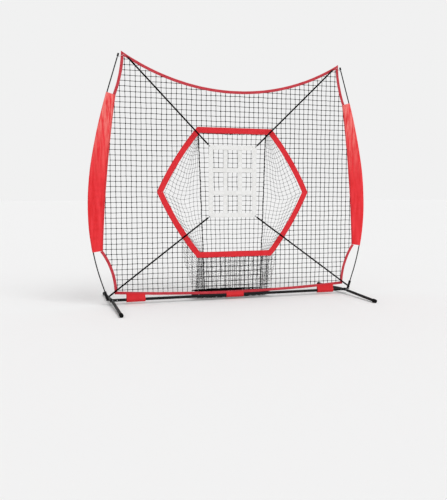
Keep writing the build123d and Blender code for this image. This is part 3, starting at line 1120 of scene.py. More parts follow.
def trim(net: bpy.types.Object, loop: list[Vector], keep_inside: bool) -> None:
    """Cuts a flat net along a closed loop and takes away the cells beyond it.

    Args:
        net: The flat net, in cells.
        loop: The loop's points, in cells.
        keep_inside: True to keep what lies within the loop.
    """

    def choose(wanted: Test) -> None:
        """Selects the cells whose middles are wanted.

        Args:
            wanted: The test of a cell's middle.
        """
        for face in bmesh.from_edit_mesh(net.data).faces:
            face.select_set(wanted(face.calc_center_median().to_2d()))
        bmesh.update_edit_mesh(net.data)

    with opened(net):
        bpy.ops.mesh.select_mode(type="FACE")
        for a, b in edges_of(loop):
            low = Vector((min(a.x, b.x) - 1, min(a.y, b.y) - 1))
            high = Vector((max(a.x, b.x) + 1, max(a.y, b.y) + 1))
            choose(lambda at: low.x < at.x < high.x and low.y < at.y < high.y)
            across = Vector((b.y - a.y, a.x - b.x, 0)).normalized()
            bpy.ops.mesh.bisect(plane_co=(a.x, a.y, 0), plane_no=across)
        choose(lambda at: holds(loop, at) is not keep_inside)
        bpy.ops.mesh.delete(type="FACE")


def strings_of(
    net: bpy.types.Object, run: Run, place: Place, twine: Twine, covered: Test
) -> bpy.types.Object:
    """Makes round strings along one run of a flat net's lines.

    Args:
        net: The flat net, in cells, which is left as it is.
        run: Which lines to follow.
        place: Where a point of the flat net lies on the object.
        twine: The twine's sizes.
        covered: Where the strings are pressed flat between layers of tape.

    Returns:
        The strings as one mesh.
    """
    pick(net)
    bpy.ops.object.duplicate()
    half = bpy.context.object
    across, along = (0, 1) if run is Run.UPRIGHT else (1, 0)
    with opened(half):
        bpy.ops.mesh.delete(type="ONLY_FACE")
        bpy.ops.mesh.select_mode(type="EDGE")
        for edge in bmesh.from_edit_mesh(half.data).edges:
            a, b = (vertex.co[across] for vertex in edge.verts)
            edge.select_set(not (abs(a - b) < ON_LINE and near_whole(a)))
        bmesh.update_edit_mesh(half.data)
        bpy.ops.mesh.delete(type="EDGE")
        bpy.ops.mesh.select_all(action="SELECT")
        bpy.ops.mesh.subdivide(number_cuts=CUTS)
    bpy.ops.object.convert(target="CURVE")
    half.data.dimensions = "3D"
    half.data.bevel_depth = twine.radius
    half.data.bevel_resolution = 1
    half.data.use_fill_caps = True
    for spline in half.data.splines:
        for point in spline.points:
            flat = list(point.co[:2])
            cell, part = divmod(flat[along] + NUDGE, 1)
            if covered(Vector(flat)):
                point.radius = twine.covered_share
            elif abs(part - 1 / 3) < ON_PART:
                flat[along] = cell + twine.joint_reach
            elif abs(part - 2 / 3) < ON_PART:
                flat[along] = cell + 1 - twine.joint_reach
            elif part < ON_PART:
                point.radius = twine.joint_radius / twine.radius
            point.co = (*place(*flat), 1.0)
    bpy.ops.object.convert(target="MESH")
    strings = bpy.context.object
    seal(strings)
    return strings


def weave_net(
    name: str, net: bpy.types.Object, place: Place, twine: Twine, covered: Test = lambda at: False
) -> bpy.types.Object:
    """Turns a flat net into strings that are placed on the object.

    Args:
        name: The piece's name.
        net: The flat net, in cells, which is used up.
        place: Where a point of the flat net lies on the object.
        twine: The twine's sizes.
        covered: Where the strings are pressed flat between layers of tape.

    Returns:
        The netting as one piece.
    """
    halves = [strings_of(net, run, place, twine, covered) for run in Run]
    bpy.data.objects.remove(net)
    netting = join(name, halves)
    bpy.ops.object.shade_smooth()
    dress(netting, twine.finish)
    log.info("%s: %d faces", name, len(netting.data.polygons))
    return netting


def attach(piece: bpy.types.Object, body: str, slot: str, *nodes: str) -> None:
    """Lets a piece ride on a body and stand for its nodes.

    Args:
        piece: The finished piece.
        body: The body that it moves with.
        slot: Not used.
        *nodes: The nodes that it stands for.
    """
    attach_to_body(piece, body)
    if nodes:
        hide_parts(*nodes)
    log.info("%s rides on %s", piece.name, body)


# ---- The netting face and its edges -----------------------------------------------------------


@dataclass
class NettingFace:
    """The upright net with its hexagonal mouth."""

    pitch: float = 0.0445
    cells: tuple[int, int] = (56, 48)
    base: float = 0.04
    tuck: float = 0.0075
    edge_steps: int = 12
    mouth_steps: int = 6
    twine: Twine = Twine(radius=0.0024, joint_radius=0.0052)

    def cell(self, at: Vector) -> Vector:
        """A point of the net's plane, counted in cells."""
        return Vector((at.x / self.pitch + self.cells[0] / 2, (at.y - self.base) / self.pitch))

    def place(self, u: float, v: float) -> Vector:
        """Where a point of the flat net hangs, a little out of true."""
        at = Vector(((u - self.cells[0] / 2) * self.pitch, 0, v * self.pitch + self.base))
        return at + slack(at, size=0.1, seed=0, reach=(0.0034, 0, 0.003))

    def build(self) -> None:
        """Cuts the net to its edge and its mouth, and strings it."""

        def edge(tuck: float) -> list[Vector]:
            """The net's edge, tucked that far under its tape."""
            points = NET.points(tuck - HEM_WIDTH / 2, self.edge_steps)
            return [self.cell(point) for point in points]

        def mouth(tuck: float) -> list[Vector]:
            """The mouth's edge, tucked that far under its webbing."""
            points = MOUTH.points(WEBBING_WIDTH / 2 - tuck, self.mouth_steps)
            return [self.cell(point) for point in points]

        net = add_grid("flat_net", *self.cells)
        trim(net, edge(self.tuck), keep_inside=True)
        trim(net, mouth(self.tuck), keep_inside=False)
        bare_edge, bare_mouth = edge(0.0), mouth(0.0)

        def covered(at: Vector) -> bool:
            """True where tape or webbing covers the net."""
            return holds(bare_mouth, at) or not holds(bare_edge, at)

        netting = weave_net("face_netting", net, self.place, self.twine, covered)
        attach(netting, "frame", "netting", "main_net")


@dataclass
class EdgeTape:
    """One side of the net's bound edge."""

    side: int
    node: str
    thickness: float = 0.0038
    pucker: float = 0.0008
    cell: float = 0.018

    def place(self, s: float, t: float) -> Vector:
        """A point of the tape, puckered a little between its stitches."""
        flat = stand(NET.side(self.side, (t - 0.5) * HEM_WIDTH).at(s))
        return flat + slack(flat, size=0.05, seed=7, reach=(self.pucker,) * 3)

    def build(self) -> None:
        """Makes the tape from mitre to mitre."""
        length = NET.side(self.side, 0).length
        tape = make_cloth(
            f"{self.node}_tape",
            (max(16, round(length / self.cell)), 6),
            (length, HEM_WIDTH),
            self.place,
            self.thickness,
        )
        dress(tape, EDGE_TAPE)
        attach(tape, "frame", "red_webbing", self.node)


@dataclass
class Sleeve:
    """A red cloth sleeve, folded round its rod and sewn to the net's edge."""

    side: Side
    wrap_radius: float = 0.0072
    thickness: float = 0.0008
    seam_half: float = 0.0019
    tilts: tuple[float, float] = (15.0, -6.0)
    around: float = 0.27
    cells: tuple[int, int] = (150, 44)
    long_fold: float = 0.0052
    crease: float = 0.0050
    puff: float = 0.0022
    flare: float = 0.0016

    def __post_init__(self) -> None:
        """Finds where the sleeve's ends meet the rod."""
        self.ends = [self.rod_distance(i, tilt) for i, tilt in zip((1, 2), self.tilts)]

    @staticmethod
    def rod_distance(i: int, tilt: float) -> float:
        """The rod's distance from its foot where the tilted end at net corner i meets it.

        Args:
            i: The net corner's number.
            tilt: The end's tilt from level, in degrees.

        Returns:
            The distance.
        """
        corner, angle = NET.corner(i), math.radians(tilt)
        seam = Vector((math.cos(angle), math.sin(angle)))
        pace, near = 0.001, 0.3

        def miss(distance: float) -> float:
            """How far the rod's point lies from the end's line, or more if it isn't near."""
            step = ROD.at(distance) - corner
            return abs(seam.x * step.y - seam.y * step.x) + (step.length > near)

        return min((k * pace for k in range(int(ROD.length / pace))), key=miss)

    def place(self, s: float, t: float) -> Vector:
        """A point of the cloth: front layer, round the rod, and back again.

        Args:
            s: The share of the way along.
            t: The share of the way from the front seam round to the back seam.

        Returns:
            The point.
        """
        inner = NET.side(1, -HEM_WIDTH / 2).at(s)
        outer = ROD.at(self.ends[0] + s * (self.ends[1] - self.ends[0]))
        out = (outer - inner).normalized()
        width, radius = (outer - inner).length, self.wrap_radius
        run = t * (2 * width + math.pi * radius)
        turned = (run - width) / radius
        if turned < 0:
            at, y = inner + out * run, -self.layer(run / width)
        elif turned < math.pi:
            at = outer + out * radius * math.sin(turned)
            y = -radius * math.cos(turned)
        else:
            back = width - (run - width - math.pi * radius)
            at, y = inner + out * back, self.layer(back / width)
        return self.crumple(stand(at, y, self.side.value), s, t)

    def layer(self, share: float) -> float:
        """How far a layer lies from the net's plane, from the seam out to the rod."""
        return self.seam_half + (self.wrap_radius - self.seam_half) * eased(share)

    def crumple(self, at: Vector, s: float, t: float) -> Vector:
        """Adds long folds that both layers share, cross creases low down, and some slack.

        Args:
            at: The point on the smooth cloth.
            s: The share of the way along.
            t: The share of the way across.

        Returns:
            The point on the crumpled cloth.
        """
        loose = math.sin(math.pi * min(2 * t, 2 - 2 * t)) ** 0.7 if 0 < t < 1 else 0.0
        lean, drawn_out, end_fade = 0.16, 0.16, 12
        across = at.x + lean * self.side.value * at.z
        long_fold = ripple(Vector((across, 0, at.z * drawn_out)), 0.030, 11).y
        crease = ripple(Vector((at.x * 0.45, 0, at.z * 1.3)), 0.034, 4).y
        puff = 0.5 + 0.5 * ripple(at, 0.06, 9 + self.side.value).z
        sharp = math.copysign(abs(crease) ** 1.6, crease)
        near_ends = math.exp(-s * end_fade) + math.exp(-(1 - s) * end_fade)
        shared = self.long_fold * long_fold + self.crease * sharp * (0.35 + 0.65 * s)
        sign = -1 if at.y < 0 else 1
        spread = self.puff * puff + self.flare * near_ends
        return at + Vector((0.0006 * crease, loose * (shared + sign * spread), 0))

    def build(self) -> None:
        """Makes the folded sleeve."""
        length = NET.side(1, 0).length
        name, size = f"{self.side.word}_rod_sleeve", (length, self.around)
        sleeve = make_cloth(name, self.cells, size, self.place, self.thickness)
        seal(sleeve)
        dress(sleeve, SLEEVE_CLOTH)
        attach(sleeve, "frame", "red_cloth", f"{self.side.word}_sleeve")


@dataclass
class BarTab:
    """A red tab sewn to the bottom edge and wrapped round the crossbar."""

    node: str
    middle: float
    width: float = 0.165
    bar_height: float = 0.042
    wrap_radius: float = 0.0152
    hang: float = 0.006
    thickness: float = 0.0014
    hem_half: float = 0.0028
    foot_half: float = 1.08
    closing: float = 0.62
    fold: tuple[float, float] = (0.0010, 0.0012)
    cells: tuple[int, int] = (26, 44)

    def place(self, s: float, t: float) -> Vector:
        """A point of the tab: down the front, round the bar and up the back.

        Args:
            s: The share across the tab.
            t: The share from the front hem round to the back.

        Returns:
            The point.
        """
        x = self.middle + (s - 0.5) * self.width
        share = (x + self.foot_half) / (2 * self.foot_half)
        top = NET.side(3, 0).at(1 - share).y
        angle = (t - 0.5) * 2 * math.pi
        up = max(0.0, abs(angle) - self.closing * math.pi) / ((1 - self.closing) * math.pi)
        wrap = Vector((0, math.sin(angle), -math.cos(angle))) * self.wrap_radius
        wrap.z -= self.hang * max(0.0, math.cos(angle)) ** 2
        at = Vector((x, wrap.y, self.bar_height + wrap.z))
        neck = Vector((x, math.copysign(self.hem_half, angle), top))
        closed = eased(up)
        at = at.lerp(neck, closed)
        reach = (0, *self.fold)
        fold = slack(Vector((x * 0.5, at.y, at.z)), 0.02, 2 + self.middle, reach)
        return at + fold * (1 - closed)

    def build(self) -> None:
        """Makes the wrapped tab, as long as its way down, round the bar and up again."""
        rows = self.cells[1]
        length = length_of([self.place(0.5, k / rows) for k in range(rows + 1)])
        name, size = f"{self.node}_wrap", (self.width, length)
        tab = make_cloth(name, self.cells, size, self.place, self.thickness)
        dress(tab, TAB_CLOTH)
        attach(tab, "frame", "red_webbing", self.node)


@dataclass
class MouthBinding:
    """Webbing sewn round the hexagonal mouth, one strip to a side."""

    thickness: float = 0.0034
    wave: tuple[float, float, float] = (0.0012, 0.001, 0.0012)
    cell: float = 0.02

    def place(self, side: int) -> Place:
        """Where one strip's points lie.

        Args:
            side: The mouth's side.

        Returns:
            The place of a point of that strip.
        """

        def on_strip(s: float, t: float) -> Vector:
            """A point of the strip, in shares along and across."""
            flat = stand(MOUTH.side(side, (t - 0.5) * WEBBING_WIDTH).at(s))
            return flat + slack(flat, size=0.11, seed=side, reach=self.wave)

        return on_strip

    def build(self) -> None:
        """Makes the six strips as one piece."""
        strips, total = [], 0.0
        for side in range(6):
            length = MOUTH.side(side, 0).length
            total += length
            cells = (round(length / self.cell), 10)
            size = (length, WEBBING_WIDTH)
            place = self.place(side)
            strips.append(make_cloth(f"strip_{side}", cells, size, place, self.thickness))
        webbing = join("mouth_webbing", strips)
        dress(webbing, MOUTH_WEBBING)
        attach(webbing, "frame", "red_webbing", "mouth_binding")


# ---- The catch pocket -------------------------------------------------------------------------


@dataclass
class Pocket:
    """The netting bag behind the mouth: back, sides, roof, front apron and gathered bottom."""

    shift: float = 0.018
    top: float = 1.500
    foot: float = 0.0673
    back_half_top: float = 0.322
    back_half_foot: float = 0.272
    back_y_top: float = 0.130
    back_y_foot: float = 0.1183
    mouth_half_foot: float = 0.352
    front_y: float = 0.0035
    apron_y: float = 0.1137
    back_slack: float = 0.004
    seam_width: float = 0.005
    # The corners of a side panel's front edge, as shares of the way down.
    bend: float = 0.4
    foot_turn: float = 0.78
    # Half the width of a panel's front or top edge, and its height.
    apron_top: tuple[float, float] = (0.330, 0.404)
    roof_front: tuple[float, float] = (0.335, 1.519)
    roof_sag: float = 0.006
    # The Y and Z of the skirts' foot, and of what is gathered on the floor.
    skirt_foot: tuple[float, float] = (0.096, 0.082)
    bunch_middle: tuple[float, float] = (0.118, 0.0350)
    bunch_radii: tuple[float, float] = (0.0265, 0.0310)
    bunch_room: tuple[tuple[float, float], ...] = ((0.0910, 0.1450), (0.0045, 0.068))
    bunch_ends: tuple[float, float] = (-0.372, 0.372)
    bunch_cells: tuple[int, int] = (40, 11)
    roll_middle: tuple[float, float] = (0.104, 0.0795)
    roll_radii: tuple[float, float] = (0.0130, 0.0135)
    roll_run: tuple[float, float] = (-0.384, 0.690)
    twine: Twine = Twine(radius=0.0012, joint_radius=0.0023, finish=POCKET_TWINE)
    back_twine: Twine = Twine(radius=0.0020, joint_radius=0.0044)
    apron_twine: Twine = Twine(radius=0.0008, joint_radius=0.0017)
    seam_twine: Twine = Twine(radius=0.0017, joint_radius=0.0040, joint_reach=0.3)
    bunch_twine: Twine = Twine(radius=0.0019, joint_radius=0.0034, joint_reach=0.22)

    def back_edge(self, z: float, sign: int) -> Vector:
        """The back panel's edge at a height.

        Args:
            z: The height.
            sign: The side's sign: -1 for the left, 1 for the right.

        Returns:
            The edge's point.
        """
        share = (z - self.foot) / (self.top - self.foot)
        half = self.back_half_foot + share * (self.back_half_top - self.back_half_foot)
        y = self.back_y_foot + share * (self.back_y_top - self.back_y_foot)
        return Vector((self.shift + sign * half, y, z))

    def front_edge(self, share: float, sign: int) -> Vector:
        """The side's front edge: down the mouth's bowed edges, then in to the bunched foot.

        Args:
            share: The share of the way down.
            sign: The side's sign: -1 for the left, 1 for the right.

        Returns:
            The edge's point.
        """
        upper, lower = MOUTH.side(0, -0.004), MOUTH.side(1, -0.004)
        bend, turn_in = self.bend, self.foot_turn
        if share < bend:
            return stand(upper.at(share / bend), self.front_y, sign)
        if share < turn_in:
            return stand(lower.at((share - bend) / (turn_in - bend)), self.front_y, sign)
        down = (share - turn_in) / (1 - turn_in)
        end = Vector((self.mouth_half_foot, self.apron_y, self.foot))
        low = stand(lower.end, self.front_y).lerp(end, down)
        return Vector((sign * low.x + self.shift * down / 2, low.y, low.z))

    def back(self, u: float, v: float) -> Vector:
        """A point of the back panel, in shares across and up.

        Args:
            u: How far through the columns of cells, from 0 to 1.
            v: How far through the rows of cells, from 0 to 1.

        Returns:
            The point.
        """
        z = self.foot + v * (self.top - self.foot)
        left, right = self.back_edge(z, -1), self.back_edge(z, 1)
        at = left.lerp(right, u)
        step, most = ripple(at, 0.1, 21), self.back_slack
        belly = math.sin(math.pi * u) * math.sin(math.pi * v)
        return at + Vector((step.x * most, step.y * most - most * belly, step.z * most))

    def flank(self, sign: int) -> Place:
        """Where a side panel's points lie, in shares from front to back and from top to foot.

        Args:
            sign: The side's sign: -1 for the left, 1 for the right.

        Returns:
            The place of a point.
        """

        def on_flank(u: float, v: float) -> Vector:
            """A point of the side panel.

            Args:
                u: How far through the columns of cells, from 0 to 1.
                v: How far through the rows of cells, from 0 to 1.

            Returns:
                The point.
            """
            front = self.front_edge(v, sign)
            z = max(self.foot, front.z - 0.05 * math.sin(math.pi * v) ** 2)
            behind = self.back_edge(min(z, self.top), sign)
            at = front.lerp(behind, u)
            loose = math.sin(math.pi * u) * min(1.0, 4 * (1 - v) + 0.3)
            step = ripple(at, 0.09, 31 + sign)
            hang = ripple(at, 0.3, 13 - sign)
            drop = -0.05 * loose * math.sin(math.pi * min(1.0, 1.3 * v))
            return at + loose * Vector(
                (step.x * 0.014, step.y * 0.012, drop + step.z * 0.012 + hang.z * 0.02)
            )

        return on_flank

    def seam(self, sign: int) -> Place:
        """Where the lacing between a side panel and the back lies: a narrow ladder of twine.

        Args:
            sign: The side's sign: -1 for the left, 1 for the right.

        Returns:
            The place of a point.
        """

        def on_seam(u: float, v: float) -> Vector:
            """A point of the lacing, in shares across and up.

            Args:
                u: How far through the columns of cells, from 0 to 1.
                v: How far through the rows of cells, from 0 to 1.

            Returns:
                The point.
            """
            z = self.foot + v * (self.top - self.foot)
            at = self.back_edge(z, sign)
            wander = ripple(at, 0.05, 81 + sign)
            width = self.seam_width + 0.003 * wander.z
            return at + Vector((wander.x * 0.004 + (u - 0.5) * width, wander.y * 0.003, 0))

        return on_seam

    def skirt(self, sign: int) -> Place:
        """Where the netting hangs that is sewn to the mouth's lower edge and falls to the floor.

        Args:
            sign: The side's sign. The left skirt starts higher up the mouth than the right.

        Returns:
            The place of a point, in shares from the outer edge in and from the mouth down.
        """
        start, outer, inner = (0.62, 0.362, 0.262) if sign < 0 else (0.86, 0.366, 0.296)

        def on_skirt(u: float, v: float) -> Vector:
            """A point of the skirt.

            Args:
                u: How far through the columns of cells, from 0 to 1.
                v: How far through the rows of cells, from 0 to 1.

            Returns:
                The point.
            """
            sewn = MOUTH.side(1, 0.012).at(start + u * (1 - start))
            low = Vector((sign * (outer + u * (inner - outer)), *self.skirt_foot))
            at = stand(sewn, self.front_y, sign).lerp(low, v)
            pleat = math.sin(u * 15.0 + sign) * math.sin(math.pi * min(1.0, v + 0.15))
            step = ripple(at, 0.055, 91 + sign)
            bulge = 0.022 * (1 - u) * math.sin(math.pi * v)
            return at + Vector(
                (
                    sign * bulge + v * step.x * 0.012,
                    0.010 * pleat + v * step.y * 0.010,
                    v * (1 - v) * step.z * 0.05,
                )
            )

        return on_skirt

    def apron(self, u: float, v: float) -> Vector:
        """A point of the front below the mouth, in shares across and down.

        Args:
            u: How far through the columns of cells, from 0 to 1.
            v: How far through the rows of cells, from 0 to 1.

        Returns:
            The point.
        """
        half_top, top = self.apron_top
        half = half_top + v * (self.mouth_half_foot - half_top)
        x = (2 * u - 1) * half + self.shift * v / 2
        y = self.front_y + v * (self.apron_y - self.front_y)
        at = Vector((x, y, top + v * (self.foot - top)))
        step, ruck = ripple(at, 0.045, 41), ripple(at, 0.14, 45)
        loose = math.sin(math.pi * v) ** 0.6
        moved = Vector((step.x * 0.018, step.y * 0.010, step.z * 0.020 + ruck.z * 0.016))
        return at + loose * moved

    def roof(self, u: float, v: float) -> Vector:
        """A point of the top, in shares across and from the mouth back.

        Args:
            u: How far through the columns of cells, from 0 to 1.
            v: How far through the rows of cells, from 0 to 1.

        Returns:
            The point.
        """
        half, height = self.roof_front
        front = Vector(((2 * u - 1) * half, self.front_y, height))
        behind = self.back_edge(self.top, -1).lerp(self.back_edge(self.top, 1), u)
        at, sag = front.lerp(behind, v), self.roof_sag
        step = ripple(at, 0.08, 51)
        return at + Vector((0, 0, step.z * sag - sag * math.sin(math.pi * v)))

    def bunch(self, layer: int, closed: bool = False) -> Place:
        """Where the gathered netting lies.

        Args:
            layer: 0 for the outermost layer, and more further in.
            closed: True to draw the ends in to a point.

        Returns:
            The place of a point, in shares along the floor and round the bunch.
        """

        def on_bunch(u: float, v: float) -> Vector:
            """A point of the gathered netting.

            Args:
                u: How far through the columns of cells, from 0 to 1.
                v: How far through the rows of cells, from 0 to 1.

            Returns:
                The point.
            """
            angle = 2 * math.pi * v + layer
            full = math.sin(math.pi * u)
            ends = full**0.35 if closed else 0.6 + 0.4 * full**0.35
            size = (1 - 0.24 * layer) * ends
            x = self.bunch_ends[0] + u * (self.bunch_ends[1] - self.bunch_ends[0])
            at = Vector((x, *self.bunch_middle)) + self.ring(angle, self.bunch_radii) * size
            moved = at + slack(at, 0.022, 61 + layer, (0.016, 0.009, 0.010)) * ends
            for axis, (least, most) in zip((1, 2), self.bunch_room):
                moved[axis] = min(most, max(least, moved[axis]))
            return moved

        return on_bunch

    @staticmethod
    def ring(angle: float, radii: tuple[float, float]) -> Vector:
        """The step out from the middle of a bunch or roll, at an angle round it."""
        return Vector((0, math.cos(angle) * radii[0], math.sin(angle) * radii[1]))

    def roll(self, u: float, v: float) -> Vector:
        """A point of the slack rolled up on top of the bunch, in shares along and round.

        Args:
            u: How far through the columns of cells, from 0 to 1.
            v: How far through the rows of cells, from 0 to 1.

        Returns:
            The point.
        """
        size = (max(0.0, math.sin(math.pi * u)) ** 0.4) * (1 - 0.45 * u)
        start, run = self.roll_run
        ring = self.ring(2 * math.pi * v, self.roll_radii) * size
        at = Vector((start + run * u, *self.roll_middle)) + ring
        return at + slack(at, 0.020, 67, (0.006, 0.005, 0.007)) * size

    def lump(self, name: str, cells: tuple[int, int], place: Place) -> bpy.types.Object:
        """Makes a closed, crumpled mass of netting from a grid rolled into a tube.

        Args:
            name: The mass's name.
            cells: The grid's cells along and round.
            place: Where a point of the grid lies.

        Returns:
            The mass.
        """
        mass = add_grid(name, *cells)
        for vertex in mass.data.vertices:
            vertex.co = place(vertex.co.x / cells[0], (vertex.co.y / cells[1]) % 1.0)
        seal(mass)
        bpy.ops.object.shade_smooth()
        dress(mass, GATHERED_NET)
        return mass

    @staticmethod
    def woven(name: str, cells: tuple[int, int], place: Place, twine: Twine) -> bpy.types.Object:
        """Makes netting that is placed by the shares across and along it."""
        net = add_grid(f"flat_{name}", *cells)
        return weave_net(name, net, lambda u, v: place(u / cells[0], v / cells[1]), twine)

    def panel(
        self, name: str, cells: tuple[int, int], place: Place, twine: Twine, *nodes: str
    ) -> None:
        """Makes one panel of netting, which may stand for nodes."""
        attach(self.woven(name, cells, place, twine), "frame", "pocket_netting", *nodes)

    def gather(self) -> None:
        """Makes the netting bunched along the floor: two dark masses under loose layers."""
        core = self.lump("core", (96, 22), self.bunch(1, closed=True))
        roll = self.lump("roll", (90, 14), self.roll)
        layers = [
            self.woven(f"bunch_{layer}", self.bunch_cells, self.bunch(layer), self.bunch_twine)
            for layer in range(2)
        ]
        bunch = join("bunched_netting", layers + [core, roll])
        attach(bunch, "frame", "pocket_netting", "pocket_gather")

    def build(self) -> None:
        """Makes the whole bag."""
        back, apron = self.back_twine, self.apron_twine
        self.panel("pocket_back_netting", (14, 33), self.back, back, "pocket_back")
        for side in Side:
            name, sign = f"{side.word}_pocket", side.value
            flank, node = self.flank(sign), f"{name}_side"
            self.panel(f"{node}_netting", (10, 40), flank, self.twine, node)
            self.panel(f"{name}_seam", (1, 44), self.seam(sign), self.seam_twine)
            cells = (8, 15) if side is Side.LEFT else (5, 12)
            self.panel(f"{name}_skirt", cells, self.skirt(sign), apron)
        self.panel("pocket_apron_netting", (24, 19), self.apron, apron, "pocket_apron")
        self.panel("pocket_roof_netting", (15, 3), self.roof, back, "pocket_roof")
        self.gather()


# ---- The strike-zone frame and its cords ------------------------------------------------------


@dataclass
class StrikeZone:
    """Three by three windows between sewn white bands, with an eyelet in each corner."""

    left: float = -0.259
    low: float = 0.748
    width: float = 0.448
    height: float = 0.637
    band: float = 0.040
    plane: float = -0.045
    layer_gap: float = 0.0023
    thickness: float = 0.0016
    wave: tuple[float, float, float] = (0.0008, 0.0003, 0.0008)
    cell: float = 0.02
    ring_inset: float = 0.009
    hole_radius: float = 0.0034
    punch_depth: float = 0.02
    eyelet_radius: float = 0.0046
    eyelet_lip: float = 0.0011
    eyelet_height: float = 1.5

    def strip(
        self, name: str, start: tuple[float, float], size: tuple[float, float], y: float
    ) -> bpy.types.Object:
        """Makes one band of webbing from its lower left corner.

        Args:
            name: The strip's name.
            start: Its lower left corner, as X and Z.
            size: Its width and height.
            y: The depth of its middle.

        Returns:
            The strip.
        """
        upright = size[1] > size[0]
        length = max(size)

        def on_band(s: float, t: float) -> Vector:
            """A point of the band, in shares along and across.

            Args:
                s: The share of the way along.
                t: The share of the way across.

            Returns:
                The point.
            """
            across, up = (1 - t, s) if upright else (s, t)
            at = Vector((start[0] + across * size[0], y, start[1] + up * size[1]))
            return at + slack(at, size=0.12, seed=71, reach=self.wave)

        cells = (round(length / self.cell), 6)
        return make_cloth(name, cells, (length, self.band), on_band, self.thickness)

    def holes(self) -> list[Vector]:
        """The middles of the four corner holes.

        Returns:
            The middles, left ones first.
        """
        return [
            Vector((x, self.plane, z))
            for x in (self.left + self.ring_inset, self.left + self.width - self.ring_inset)
            for z in (self.low + self.ring_inset, self.low + self.height - self.ring_inset)
        ]

    def punch(self, strip: bpy.types.Object) -> None:
        """Cuts the corner holes that lie in a strip.

        Args:
            strip: The strip, whose mesh changes.
        """
        for hole in self.holes():
            lay_down_tools()
            bpy.ops.mesh.primitive_cylinder_add(
                vertices=20,
                radius=self.hole_radius,
                depth=self.punch_depth,
                location=hole,
                rotation=(math.pi / 2, 0, 0),
            )
            cutter = name_active("punch")
            modify(strip, "BOOLEAN", object=cutter, operation="DIFFERENCE", solver="EXACT")
            bpy.data.objects.remove(cutter)

    def eyelet(self, hole: Vector) -> bpy.types.Object:
        """Makes a pressed eyelet round a hole.

        Args:
            hole: The hole's middle.

        Returns:
            The eyelet.
        """
        lay_down_tools()
        bpy.ops.mesh.primitive_torus_add(
            major_radius=self.eyelet_radius,
            minor_radius=self.eyelet_lip,
            major_segments=24,
            minor_segments=8,
            location=hole,
            rotation=(math.pi / 2, 0, 0),
        )
        bpy.ops.transform.resize(value=(1, self.eyelet_height, 1))
        bpy.ops.object.transform_apply(location=True, rotation=True, scale=True)
        bpy.ops.object.shade_smooth()
        return name_active("eyelet")

    def build(self) -> None:
        """Makes the border, the dividers and the eyelets."""
        step_x, step_z = (self.width - self.band) / 3, (self.height - self.band) / 3
        inner = self.width - 2 * self.band

        def upright(i: int, y: float) -> bpy.types.Object:
            """The upright strip with i windows to its left."""
            start = (self.left + i * step_x, self.low)
            return self.strip(f"upright_{i}", start, (self.band, self.height), y)

        def level(i: int) -> bpy.types.Object:
            """The level strip with i windows below it."""
            start = (self.left + self.band, self.low + i * step_z)
            return self.strip(f"level_{i}", start, (inner, self.band), self.plane)

        border, dividers = [], []
        for i in (0, 3):
            border += [upright(i, self.plane), level(i)]
            self.punch(border[-2])
        for i in (1, 2):
            dividers += [level(i), upright(i, self.plane + self.layer_gap)]
        for name, strips, node in (
            ("strike_zone_border", border, "target_outer_bands"),
            ("strike_zone_dividers", dividers, "target_inner_bands"),
        ):
            webbing = join(name, strips)
            dress(webbing, WHITE_WEBBING)
            attach(webbing, "strike_zone", "white_webbing", node)
        eyelets = join("strike_zone_eyelets", [self.eyelet(hole) for hole in self.holes()])
        dress(eyelets, ZINC_PLATE)
        attach(eyelets, "strike_zone", "zinc_steel")


